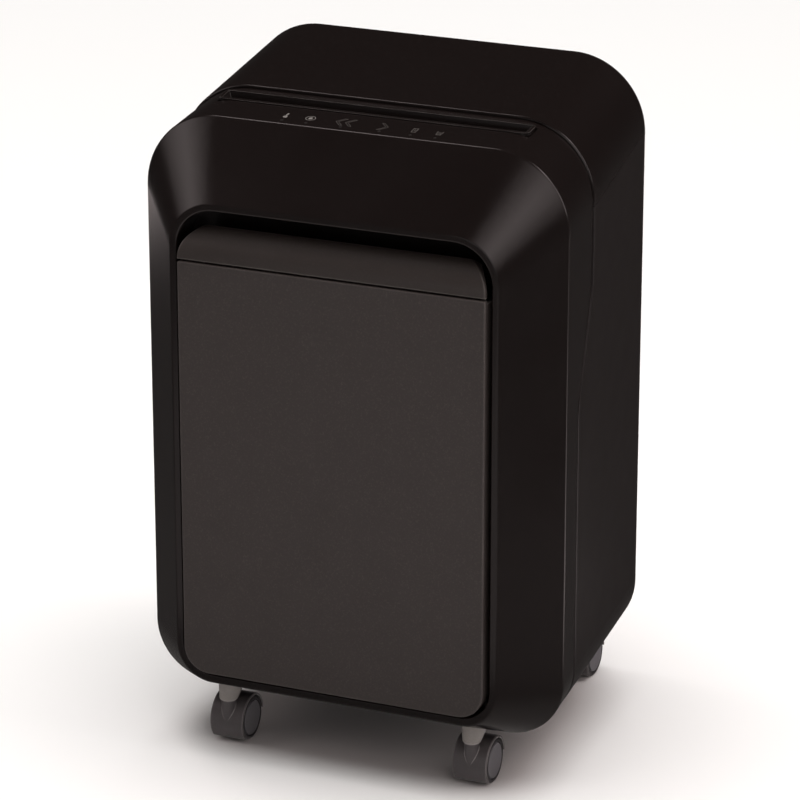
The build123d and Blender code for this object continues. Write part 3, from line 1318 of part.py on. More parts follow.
def write(name, shape, place=Pos(0, 0, 0)):
    """One STEP file at a place; a list becomes one file of separate solids."""
    pieces = shape if isinstance(shape, list) else [shape]
    solids = [place * solid for piece in pieces for solid in piece.solids()]
    export_step(solids[0] if len(solids) == 1 else Compound(children=solids), f"parts/{name}.step")


def main():
    os.makedirs("parts", exist_ok=True)
    for name, make in PIECES.items():
        write(name, make())
    caster = {
        "caster_hood": make_caster_hood(),
        "caster_pins": make_caster_pins(),
        "caster_left_wheel": make_caster_wheel(-1),
        "caster_right_wheel": make_caster_wheel(1),
    }
    for corner, (x, y) in caster_places().items():
        for name, shape in caster.items():
            write(f"{corner}_{name}", shape, Pos(x, y, 0))


if __name__ == "__main__":
    main()
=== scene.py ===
"""Looks of the paper shredder: its finishes, printed signs, stage and camera."""

import json
import logging
import math
from dataclasses import dataclass, field
from enum import Enum
from typing import Any

import bmesh
import bpy
from mathutils import Matrix, Vector
from mathutils.bvhtree import BVHTree

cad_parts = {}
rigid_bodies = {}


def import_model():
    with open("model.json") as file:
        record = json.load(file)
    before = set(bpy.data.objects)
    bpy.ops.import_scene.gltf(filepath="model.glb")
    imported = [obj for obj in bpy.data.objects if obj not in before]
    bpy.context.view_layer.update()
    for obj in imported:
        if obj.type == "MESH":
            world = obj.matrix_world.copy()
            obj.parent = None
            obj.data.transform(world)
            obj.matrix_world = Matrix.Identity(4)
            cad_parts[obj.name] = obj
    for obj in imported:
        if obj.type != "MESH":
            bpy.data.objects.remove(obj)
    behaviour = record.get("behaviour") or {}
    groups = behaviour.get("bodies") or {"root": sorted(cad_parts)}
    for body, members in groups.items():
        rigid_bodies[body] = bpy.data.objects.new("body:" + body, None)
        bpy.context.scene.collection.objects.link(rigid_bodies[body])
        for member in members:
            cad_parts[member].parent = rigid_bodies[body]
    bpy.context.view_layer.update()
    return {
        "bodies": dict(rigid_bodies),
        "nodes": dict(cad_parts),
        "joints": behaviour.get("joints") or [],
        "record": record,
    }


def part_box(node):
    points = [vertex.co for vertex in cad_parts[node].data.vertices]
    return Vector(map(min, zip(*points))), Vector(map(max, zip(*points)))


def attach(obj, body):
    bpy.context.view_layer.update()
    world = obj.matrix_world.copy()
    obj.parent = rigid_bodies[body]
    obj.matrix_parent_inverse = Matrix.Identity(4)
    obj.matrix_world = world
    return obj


MM = 0.001
WATTS_PER_GLOW = 4.0  # power of one square metre of lamp at a radiance of one
VEIL_STEP = 0.004  # metres between the veils of one lamp
MITRE_LIMIT = 0.3  # least cosine at a line's corner, so that no mitre grows into a spike
LOOK_DOWN_FROM = 1.0  # metres over the floor, well above the covers
LOOK_IN_FROM = 0.1  # metres behind the rocker

# Where each pattern goes from none of its effect to all of it.
FLECK_RANGE = (0.52, 0.72)  # grain noise that shows as a lighter fleck
SWELL_RANGE = (0.3, 0.7)  # swell noise from the glossiest to the dullest skin
EDGE_RANGE = (0.996, 0.93)  # cosine between the flat and the rounded normal at an edge painted lighter, as a highlight and a little wear
MARK_RANGE = (0.35, 0.7)  # streak noise that shows as a mark on metal
PINHOLE_RANGE = (0.58, 0.75)  # noise where printed ink lies thin
SKIN_STRAY = 0.12  # how far a moulding's roughness strays from its mean, as a share
METAL_STRAY = 0.25  # the same of a metal

# Sockets of a mix node: its factor, then the sides and the result of a colour or a number.
FACTOR = 0
COLOUR_A, COLOUR_B, COLOUR_OUT = 6, 7, 2
NUMBER_A, NUMBER_B, NUMBER_OUT = 2, 3, 0

BLACK = (0.0, 0.0, 0.0, 1.0)
WHITE = (1.0, 1.0, 1.0, 1.0)
BOX_MIDDLE = (0.5, 0.5, 0.5)  # the axle's place in a wheel's own box
ACROSS_AXLE = (0.0, 1.0, 1.0)  # leaves out the way along the axle

Point = tuple[float, float]
log = logging.getLogger("shredder")


def linear(code: str) -> tuple[float, float, float, float]:
    """Turns an sRGB hex value into linear light.

    Args:
        code: six hex digits after a hash.

    Returns:
        Red, green, blue and an alpha of one.
    """
    shades = [int(code[i:i + 2], 16) / 255.0 for i in (1, 3, 5)]
    light = [s / 12.92 if s <= 0.04045 else ((s + 0.055) / 1.055) ** 2.4 for s in shades]
    return light[0], light[1], light[2], 1.0


def per_mm(size: float) -> float:
    """Gives the texture scale at which one feature is this many millimetres wide."""
    return 1.0 / (size * MM)


def span(ends: Point) -> dict[str, float]:
    """Gives the settings of a range that is read."""
    return {"From Min": ends[0], "From Max": ends[1]}


def reach(ends: Point) -> dict[str, float]:
    """Gives the settings of a range that is made."""
    return {"To Min": ends[0], "To Max": ends[1]}


def stray(mean: float, share: float) -> dict[str, float]:
    """Gives the settings of a roughness that strays about its mean by a share of it."""
    return reach((mean * (1.0 - share), min(mean * (1.0 + share), 1.0)))


def add(tree: bpy.types.NodeTree, kind: str, settings: dict[Any, Any] | None = None,
        links: dict[Any, bpy.types.NodeSocket] | None = None) -> bpy.types.Node:
    """Adds one shader node with its settings and links.

    Args:
        tree: the node tree that takes the node.
        kind: the node's type, without its leading word.
        settings: values by input name, input number or property name.
        links: source sockets by input name or number.

    Returns:
        The new node.
    """
    made = tree.nodes.new("ShaderNode" + kind)
    for name, value in (settings or {}).items():
        if isinstance(name, int) or name in made.inputs:
            made.inputs[name].default_value = value
        else:
            setattr(made, name, value)
    feed(tree, made, links or {})
    return made


def feed(tree: bpy.types.NodeTree, node: bpy.types.Node,
         links: dict[Any, bpy.types.NodeSocket]) -> None:
    """Links sources to a node's inputs, given by name or number."""
    for name, source in links.items():
        tree.links.new(source, node.inputs[name])


class Grain(Enum):
    """How a metal surface was left by its making, as the stretch of its marks."""

    GROUND = (1.0, 14.0, 14.0)
    DRAWN = (14.0, 14.0, 1.0)
    PLATED = (1.0, 1.0, 1.0)


class Sign(Enum):
    """The plain signs on the touch strip, with their places along it in millimetres."""

    WARM = -59.0
    HAND = -40.0
    BACKWARD = -13.0
    FORWARD = 17.0
    BIN_OUT = 41.0
    BIN_FULL = 60.0


class Corner(Enum):
    """The four casters by their corner of the cabinet."""

    FRONT_LEFT = "front_left"
    FRONT_RIGHT = "front_right"
    REAR_LEFT = "rear_left"
    REAR_RIGHT = "rear_right"


@dataclass(frozen=True)
class Finish:
    """One surface finish: what the material is and how its surface was made.

    Attributes:
        name: the material's common name and its making.
        colour: its sRGB hex colour.
        roughness: its mean roughness.
        ior: its index of refraction.
    """

    name: str
    colour: str
    roughness: float
    ior: float = 1.5

    def material(self) -> bpy.types.Material:
        """Makes the node material of this finish.

        Returns:
            The material, dressed by the kind of finish.
        """
        made = bpy.data.materials.new(self.name)
        made.use_nodes = True
        tree = made.node_tree
        tree.nodes.clear()
        shader = add(tree, "BsdfPrincipled", {"Roughness": self.roughness, "IOR": self.ior,
                                              "Base Color": linear(self.colour)})
        self.dress(tree, shader)
        add(tree, "OutputMaterial", links={"Surface": shader.outputs["BSDF"]})
        return made

    def dress(self, tree: bpy.types.NodeTree, shader: bpy.types.Node) -> None:
        """Adds what this kind of surface shows to its shader."""
        raise NotImplementedError


@dataclass(frozen=True)
class Moulding(Finish):
    """Injection-moulded plastic: its eroded or polished skin, with soft edges painted lighter as a
    highlight and a little wear.

    Attributes:
        fleck: the colour of the lighter grains.
        grain_mm: the width of one grain of the skin.
        depth_mm: how deep the skin's grain is.
        swell_mm: the width of the slow waves that shrinkage leaves.
        swell_depth_mm: how deep those waves are.
        edge_mm: the radius that the tool leaves on an outside edge.
        wear_and_highlight: the lighter colour painted along edges, as a highlight on them and a
            little wear from hands and cloths.
    """

    fleck: str = "#2a2725"
    grain_mm: float = 1.0
    depth_mm: float = 0.02
    swell_mm: float = 45.0
    swell_depth_mm: float = 0.05
    edge_mm: float = 0.7
    wear_and_highlight: str = "#3a3633"

    def dress(self, tree: bpy.types.NodeTree, shader: bpy.types.Node) -> None:
        """Adds the grain, the swell of the skin and the soft edges, painted lighter as a highlight
        and a little wear.

        Args:
            tree: the material's nodes.
            shader: its principled shader.
        """
        place = add(tree, "TexCoord").outputs["Object"]
        grain = add(tree, "TexNoise",
                    {"Scale": per_mm(self.grain_mm), "Detail": 3.0, "Roughness": 0.6},
                    {"Vector": place}).outputs["Fac"]
        swell = add(tree, "TexNoise", {"Scale": per_mm(self.swell_mm), "Detail": 2.0},
                    {"Vector": place}).outputs["Fac"]
        rounded = add(tree, "Bevel",
                      {"samples": 6, "Radius": self.edge_mm * MM}).outputs["Normal"]
        flat = add(tree, "NewGeometry").outputs["Normal"]
        bend = add(tree, "VectorMath", {"operation": "DOT_PRODUCT"},
                   {0: rounded, 1: flat}).outputs["Value"]
        # Painted highlight: a mask of the rounded edges, patchy by the swell, mixes the lighter
        # edge colour in as light along the edges and a little wear.
        edge = add(tree, "MapRange", span(EDGE_RANGE), {"Value": bend}).outputs["Result"]
        lit_and_worn = add(tree, "Math", {"operation": "MULTIPLY"}, {0: edge, 1: swell}).outputs["Value"]
        share = add(tree, "MapRange", span(FLECK_RANGE), {"Value": grain}).outputs["Result"]
        skin = add(tree, "Mix", {"data_type": "RGBA", COLOUR_A: linear(self.colour),
                                 COLOUR_B: linear(self.fleck)}, {FACTOR: share})
        tone = add(tree, "Mix", {"data_type": "RGBA", COLOUR_B: linear(self.wear_and_highlight)},
                   {FACTOR: lit_and_worn, COLOUR_A: skin.outputs[COLOUR_OUT]})
        gloss = add(tree, "MapRange", span(SWELL_RANGE) | stray(self.roughness, SKIN_STRAY),
                    {"Value": swell})
        wave = add(tree, "Bump", {"Distance": self.swell_depth_mm * MM},
                   {"Height": swell, "Normal": rounded})
        bump = add(tree, "Bump", {"Distance": self.depth_mm * MM},
                   {"Height": grain, "Normal": wave.outputs["Normal"]})
        feed(tree, shader, {"Base Color": tone.outputs[COLOUR_OUT],
                            "Roughness": gloss.outputs["Result"],
                            "Normal": bump.outputs["Normal"]})


@dataclass(frozen=True)
class TwoShot(Moulding):
    """A wheel moulded in two shots: a disc, and the tread round it.

    Attributes:
        tread: the tread's colour.
        disc_share: the disc's radius as a share of the wheel's diameter.
    """

    tread: str = "#3d3a3c"
    disc_share: float = 0.405

    def dress(self, tree: bpy.types.NodeTree, shader: bpy.types.Node) -> None:
        """Adds the tread's colour outside the disc.

        Args:
            tree: the material's nodes.
            shader: its principled shader.
        """
        super().dress(tree, shader)
        skin = shader.inputs["Base Color"].links[0].from_socket
        place = add(tree, "TexCoord").outputs["Generated"]
        aside = add(tree, "VectorMath", {"operation": "SUBTRACT", 1: BOX_MIDDLE},
                    {0: place}).outputs["Vector"]
        across = add(tree, "VectorMath", {"operation": "MULTIPLY", 1: ACROSS_AXLE},
                     {0: aside}).outputs["Vector"]
        radius = add(tree, "VectorMath", {"operation": "LENGTH"}, {0: across}).outputs["Value"]
        ring = add(tree, "Math", {"operation": "GREATER_THAN", 1: self.disc_share},
                   {0: radius}).outputs["Value"]
        tone = add(tree, "Mix", {"data_type": "RGBA", COLOUR_B: linear(self.tread)},
                   {FACTOR: ring, COLOUR_A: skin})
        feed(tree, shader, {"Base Color": tone.outputs[COLOUR_OUT]})


@dataclass(frozen=True)
class Metal(Finish):
    """Bare or plated metal, with the marks of its making.

    Attributes:
        mark: the colour of the marks.
        mark_mm: the width of one mark.
        grain: how the surface was left.
        depth_mm: how deep the marks are.
        cloud_mm: the width of one cloud of duller or brighter metal.
    """

    mark: str = "#6a6a6c"
    mark_mm: float = 1.2
    grain: Grain = Grain.PLATED
    depth_mm: float = 0.01
    cloud_mm: float = 6.0

    def dress(self, tree: bpy.types.NodeTree, shader: bpy.types.Node) -> None:
        """Adds streaks or clouds along the lay of the metal.

        Args:
            tree: the material's nodes.
            shader: its principled shader.
        """
        shader.inputs["Metallic"].default_value = 1.0
        place = add(tree, "TexCoord").outputs["Object"]
        lay = add(tree, "Mapping", {"Scale": self.grain.value}, {"Vector": place})
        marks = add(tree, "TexNoise",
                    {"Scale": per_mm(self.mark_mm) / max(self.grain.value), "Detail": 4.0},
                    {"Vector": lay.outputs["Vector"]}).outputs["Fac"]
        cloud = add(tree, "TexVoronoi", {"Scale": per_mm(self.cloud_mm), "Randomness": 1.0},
                    {"Vector": place})
        tint = add(tree, "MapRange", span(MARK_RANGE), {"Value": marks}).outputs["Result"]
        tone = add(tree, "Mix", {"data_type": "RGBA", COLOUR_A: linear(self.colour),
                                 COLOUR_B: linear(self.mark)}, {FACTOR: tint})
        gloss = add(tree, "MapRange", stray(self.roughness, METAL_STRAY),
                    {"Value": cloud.outputs["Color"]})
        bump = add(tree, "Bump", {"Distance": self.depth_mm * MM}, {"Height": marks})
        feed(tree, shader, {"Base Color": tone.outputs[COLOUR_OUT],
                            "Roughness": gloss.outputs["Result"],
                            "Normal": bump.outputs["Normal"]})


@dataclass(frozen=True)
class Board(Finish):
    """A printed circuit board under solder resist.

    Attributes:
        track: the colour of the resist over copper.
        pitch_mm: the spacing of the tracks.
        pitches: how many spacings one cell of the track pattern is wide.
        track_share: the tracks' width as a share of a cell.
        depth_mm: how far the tracks stand up.
    """

    track: str = "#2f7a44"
    pitch_mm: float = 2.5
    pitches: float = 4.0
    track_share: float = 0.05
    depth_mm: float = 0.05

    def dress(self, tree: bpy.types.NodeTree, shader: bpy.types.Node) -> None:
        """Adds raised tracks that show as lighter lines.

        Args:
            tree: the material's nodes.
            shader: its principled shader.
        """
        place = add(tree, "TexCoord").outputs["Object"]
        lines = add(tree, "TexBrick",
                    {"Scale": per_mm(self.pitch_mm * self.pitches),
                     "Mortar Size": self.track_share,
                     "Color1": BLACK, "Color2": BLACK, "Mortar": WHITE},
                    {"Vector": place}).outputs["Color"]
        tone = add(tree, "Mix", {"data_type": "RGBA", COLOUR_A: linear(self.colour),
                                 COLOUR_B: linear(self.track)}, {FACTOR: lines})
        bump = add(tree, "Bump", {"Distance": self.depth_mm * MM}, {"Height": lines})
        feed(tree, shader, {"Base Color": tone.outputs[COLOUR_OUT],
                            "Normal": bump.outputs["Normal"]})


@dataclass(frozen=True)
class Ink(Finish):
    """A printed or rolled coat, with the faint pinholes that printing leaves.

    Attributes:
        thin: the colour where the coat lies thin.
        hole_mm: the width of one pinhole.
        depth_mm: how deep the pinholes are.
    """

    thin: str = "#9a9692"
    hole_mm: float = 0.35
    depth_mm: float = 0.02

    def dress(self, tree: bpy.types.NodeTree, shader: bpy.types.Node) -> None:
        """Adds thin places and a grainy face.

        Args:
            tree: the material's nodes.
            shader: its principled shader.
        """
        place = add(tree, "TexCoord").outputs["Object"]
        holes = add(tree, "TexNoise", {"Scale": per_mm(self.hole_mm), "Detail": 2.0},
                    {"Vector": place}).outputs["Fac"]
        share = add(tree, "MapRange", span(PINHOLE_RANGE), {"Value": holes}).outputs["Result"]
        tone = add(tree, "Mix", {"data_type": "RGBA", COLOUR_A: linear(self.colour),
                                 COLOUR_B: linear(self.thin)}, {FACTOR: share})
        bump = add(tree, "Bump", {"Distance": self.depth_mm * MM}, {"Height": holes})
        feed(tree, shader, {"Base Color": tone.outputs[COLOUR_OUT],
                            "Normal": bump.outputs["Normal"]})


# Each moulding's edge colour is painted along its edges: a highlight there, with a little wear.
# Polished ABS: a black mirror skin that swells a little, so highlights are soft bands.
POLISHED_ABS = Moulding("ABS moulded polished black", "#140f0e", 0.22, 1.52, fleck="#181312",
                        grain_mm=3.0, depth_mm=0.002, swell_mm=60.0, swell_depth_mm=0.06,
                        edge_mm=0.6, wear_and_highlight="#221d1b")
# The same ABS round the slot, with a thin pale line painted on the rim as its highlight.
RIM_HIGHLIGHT_ABS = Moulding("ABS moulded polished black rubbed by paper", "#140f0e", 0.25, 1.52,
                      fleck="#181312", grain_mm=3.0, depth_mm=0.002, edge_mm=0.5,
                      wear_and_highlight="#6f6966")
# Spark-eroded ABS: a fine satin skin that breaks the highlights up and keeps the sides dark.
SATIN_ABS = Moulding("ABS moulded satin black", "#171211", 0.36, 1.5, fleck="#1f1a19",
                     grain_mm=1.2, depth_mm=0.015, edge_mm=0.8, wear_and_highlight="#25201f")
# Grained ABS: a dull charcoal skin, its grain drawn twice as coarse as the real one to show, with a
# pale highlight painted on its edges.
GRAINED_ABS = Moulding("ABS moulded grained charcoal", "#332d2b", 0.55, 1.5, fleck="#403936",
                       grain_mm=1.3, depth_mm=0.03, edge_mm=1.4, wear_and_highlight="#79736f")
# The grip is polished by hands, so the same charcoal takes a longer, brighter highlight, and a pale
# highlight is painted on its edges.
SMOOTH_ABS = Moulding("ABS moulded smooth charcoal", "#2f2a28", 0.32, 1.5, fleck="#36302e",
                      grain_mm=1.3, depth_mm=0.008, edge_mm=1.4, wear_and_highlight="#79736f")
# Plain polypropylene of the hidden mouldings: dull, faintly waxy black.
BLACK_PP = Moulding("Polypropylene moulded black", "#1c1b1b", 0.45, 1.49, fleck="#262525",
                    grain_mm=1.5, depth_mm=0.015, wear_and_highlight="#343232")
# Unpainted polypropylene of the caster sockets: mid grey and dull, with a pale highlight painted on
# its edges.
GREY_PP = Moulding("Polypropylene moulded grey", "#8a8581", 0.5, 1.49, fleck="#938e8a",
                   grain_mm=1.2, depth_mm=0.015, edge_mm=1.0, wear_and_highlight="#e0dcd8")
# Glass-filled nylon of the hoods: dark grey with a sheen, and a pale highlight line painted on the
# rims.
GREY_NYLON = Moulding("Nylon moulded dark grey", "#4f4b4c", 0.34, 1.53, fleck="#595556",
                      grain_mm=0.9, depth_mm=0.012, edge_mm=1.2, wear_and_highlight="#d5d0ce")
# Two-shot wheels: a grey nylon disc with a dull sheen, and a dark soft tread that frames it; their
# edges have a pale highlight painted on.
GREY_WHEEL = TwoShot("Nylon and polyurethane moulded in two shots", "#706e72", 0.42, 1.5,
                     fleck="#79777a", grain_mm=0.9, depth_mm=0.012, edge_mm=0.8,
                     wear_and_highlight="#a8a5aa")
# Cast nylon of the idler: natural ivory with a waxy sheen.
IVORY_NYLON = Moulding("Nylon moulded natural", "#ddd8cb", 0.4, 1.53, fleck="#cfc8b8",
                       grain_mm=2.0, depth_mm=0.01, wear_and_highlight="#efeadf")
# Glass-filled combs: dark grey with pale fibre ends.
COMB_NYLON = Moulding("Nylon moulded comb grey", "#5a5a5e", 0.5, 1.53, fleck="#6c6c70",
                      grain_mm=0.8, depth_mm=0.02, wear_and_highlight="#7c7c80")
# Acetal of the small button: clean white with a soft sheen.
WHITE_ACETAL = Moulding("Acetal moulded white", "#dad9d5", 0.3, 1.48, fleck="#cfcdc8",
                        grain_mm=2.0, depth_mm=0.005, wear_and_highlight="#efeeea")
# Polished nylon of the rocker: black, with crisp highlights on its edges, partly painted on as a
# lighter edge colour.
ROCKER_NYLON = Moulding("Nylon moulded polished black", "#191818", 0.22, 1.53, fleck="#1f1e1e",
                        grain_mm=2.0, depth_mm=0.004, wear_and_highlight="#4a4848")
# Soft vinyl of the cord bush: dull black with a fine drag texture.
SOFT_VINYL = Moulding("Vinyl moulded soft black", "#1b1b1b", 0.7, 1.52, fleck="#262626",
                      grain_mm=0.8, depth_mm=0.03, wear_and_highlight="#303030")
# Smoked polycarbonate of the light pipes: glassy and, unlit, nearly as dark as the cover.
SMOKED_PIPE = Moulding("Polycarbonate moulded smoked", "#1f1c1b", 0.3, 1.585, fleck="#262322",
                       grain_mm=1.0, depth_mm=0.002, wear_and_highlight="#2c2927")
# Zinc-plated sheet: bluish grey, clouded by the plating.
ZINC_SHEET = Metal("Steel sheet zinc plated", "#c3c5c8", 0.35, mark="#a5a8ac", mark_mm=5.0)
# Blackened screws: oily dark grey.
BLACK_SCREW = Metal("Steel screws blackened", "#4a4a4b", 0.4, mark="#333334", mark_mm=1.0)
# Sintered bronze: warm and finely pored.
SINTERED_BRONZE = Metal("Bronze sintered", "#b98f5a", 0.5, mark="#8f6b40", mark_mm=0.8,
                        depth_mm=0.03)
# Ground tool steel: grey with fine streaks left by the wheel.
GROUND_STEEL = Metal("Tool steel ground", "#8f9093", 0.3, mark="#717276", mark_mm=0.8,
                     grain=Grain.GROUND)
# Pressed steel of the motor: dark grey lacquer that lets the drawing marks through.
MOTOR_STEEL = Metal("Steel pressed and lacquered", "#7c7f82", 0.45, mark="#6b6e71", mark_mm=1.5,
                    grain=Grain.DRAWN)
# Bright drawn pins: nearly white steel with streaks along the draw.
DRAWN_PIN = Metal("Steel pins drawn bright", "#b9b9bb", 0.22, mark="#9d9d9f", mark_mm=0.8,
                  grain=Grain.DRAWN)
# Epoxy board: deep green, with tracks as lighter lines.
GREEN_BOARD = Board("Epoxy board under resist", "#1f5a33", 0.35, 1.55)
# Pad-printed signs: pale grey ink, a little uneven.
PALE_INK = Ink("Ink pad printed pale", "#76726e", 0.5, thin="#5c5854")
# The touch signs are printed thinner, so they stay dim until they are lit from behind.
DIM_INK = Ink("Ink pad printed dim", "#4e4a47", 0.5, thin="#403c3a")
# Rolled paint of the floor: pale, dull and even.
FLOOR_PAINT = Ink("Paint rolled pale", "#f5f4f2", 0.9, thin="#f5f4f2", hole_mm=4.0)


@dataclass
class PaintShop:
    """Makes each finish's material once and puts it on pieces."""

    made: dict[str, bpy.types.Material] = field(default_factory=dict)

    def material(self, finish: Finish) -> bpy.types.Material:
        """Gives the material of a finish, made on first use.

        Args:
            finish: the finish that is wanted.

        Returns:
            Its one material.
        """
        if finish.name not in self.made:
            self.made[finish.name] = finish.material()
        return self.made[finish.name]

    def coat(self, piece: bpy.types.Object, finish: Finish) -> None:
        """Puts a finish on every slot of a piece.

        Args:
            piece: the object to coat.
            finish: what it is coated with.
        """
        if not piece.material_slots:
            piece.data.materials.append(self.material(finish))
        for place in piece.material_slots:
            place.material = self.material(finish)
        log.info("%s: %s", piece.name, finish.name)


@dataclass
class Artwork:
    """Flat shapes in millimetres that are raised into one thin, closed mesh."""

    mesh: bmesh.types.BMesh = field(default_factory=bmesh.new)

    def fill(self, outline: list[Point]) -> None:
        """Adds one filled outline."""
        self.mesh.faces.new([self.mesh.verts.new((x, y, 0.0)) for x, y in outline])

    def line(self, path: list[Point], width: float, closed: bool = False) -> None:
        """Adds a line of even width with mitred corners.

        Args:
            path: the points that it follows.
            width: its width in millimetres.
            closed: whether its end joins its start.
        """
        points = [Vector(point) for point in path]
        last = len(points) - 1
        rails: list[tuple[Any, Any]] = []
        for i, here in enumerate(points):
            before = points[i - 1] if closed or i else None
            after = points[(i + 1) % len(points)] if closed or i < last else None
            way_in = (here - before if before else after - here).normalized()
            way_out = (after - here).normalized() if after else way_in
            along = (way_in + way_out).normalized()
            half = width / 2.0 / max(along.dot(way_in), MITRE_LIMIT)
            side = Vector((-along.y, along.x)) * half
            left, right = (self.mesh.verts.new((*spot, 0.0)) for spot in (here + side, here - side))
            rails.append((left, right))
        following = rails[1:] + rails[:1] if closed else rails[1:]
        for first, second in zip(rails, following):
            self.mesh.faces.new((first[0], first[1], second[1], second[0]))

    def disc(self, middle: Point, radius: float, points: int = 20) -> list[Point]:
        """Gives the points of a circle."""
        steps = [2.0 * math.pi * i / points for i in range(points)]
        return [(middle[0] + radius * math.cos(a), middle[1] + radius * math.sin(a)) for a in steps]

    def raised(self, name: str, thick: float, place: Matrix) -> bpy.types.Object:
        """Raises the shapes and puts them in place.

        Args:
            name: the new object's name.
            thick: its thickness in millimetres.
            place: where its plane lies, in metres.

        Returns:
            The new object.
        """
        bmesh.ops.recalc_face_normals(self.mesh, faces=self.mesh.faces[:])
        for face in self.mesh.faces:
            if face.normal.z < 0.0:
                face.normal_flip()
        bmesh.ops.solidify(self.mesh, geom=self.mesh.faces[:], thickness=-thick)
        bmesh.ops.recalc_face_normals(self.mesh, faces=self.mesh.faces[:])
        bmesh.ops.scale(self.mesh, vec=(MM, MM, MM), verts=self.mesh.verts[:])
        data = bpy.data.meshes.new(name)
        self.mesh.to_mesh(data)
        self.mesh.free()
        data.transform(place)
        piece = bpy.data.objects.new(name, data)
        bpy.context.scene.collection.objects.link(piece)
        return piece


@dataclass
class SubAssembly:
    """A group of pieces that are made and dressed together.

    Attributes:
        frame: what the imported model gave.
        shop: where the finishes come from.
    """

    frame: dict[str, Any]
    shop: PaintShop

    def finishes(self) -> dict[str, Finish]:
        """Gives the finish of each CAD piece of this group."""
        raise NotImplementedError

    def dress(self) -> None:
        """Coats every CAD piece of the group."""
        for name, finish in self.finishes().items():
            self.shop.coat(self.frame["nodes"][name], finish)

    def build(self) -> None:
        """Makes the pieces that only the looks have; most groups have none."""

    def surface(self, node: str, start: Vector, way: Vector) -> tuple[Vector, Vector]:
        """Finds where a straight line first meets a CAD piece.

        Args:
            node: the piece's name.
            start: where the line starts, in metres.
            way: its direction.

        Returns:
            The place and the surface's own direction there.
        """
        data = self.frame["nodes"][node].data
        corners = [vertex.co for vertex in data.vertices]
        tree = BVHTree.FromPolygons(corners, [face.vertices for face in data.polygons])
        place, normal, _, _ = tree.ray_cast(start, way)
        if place is None:
            raise ValueError(f"{node} isn't met from {start}")
        return place, normal if normal.dot(way) < 0.0 else -normal

    def lay_on(self, place: Vector, normal: Vector, along: Vector, sunk: float) -> Matrix:
        """Gives the plane on a surface in which a flat piece lies.

        Args:
            place: a point of the surface.
            normal: the surface's direction.
            along: the flat piece's own first direction.
            sunk: how far its foot is let in, in millimetres.

        Returns:
            The plane's matrix.
        """
        second = normal.cross(along).normalized()
        first = second.cross(normal).normalized()
        turn = Matrix((first, second, normal)).transposed().to_4x4()
        return Matrix.Translation(place - normal * sunk * MM) @ turn


@dataclass
class Cabinet(SubAssembly):
    """The outer covers and the tray that carries them."""

    def finishes(self) -> dict[str, Finish]:
        """Gives the finish of each cover."""
        return {"front_fascia": POLISHED_ABS, "head_cover": POLISHED_ABS,
                "cabinet_shell": SATIN_ABS, "rear_cover": SATIN_ABS,
                "rear_head_cover": SATIN_ABS, "base_tray": BLACK_PP, "head_deck": BLACK_PP,
                "left_runner": BLACK_PP, "right_runner": BLACK_PP,
                "rear_cover_screws": BLACK_SCREW}


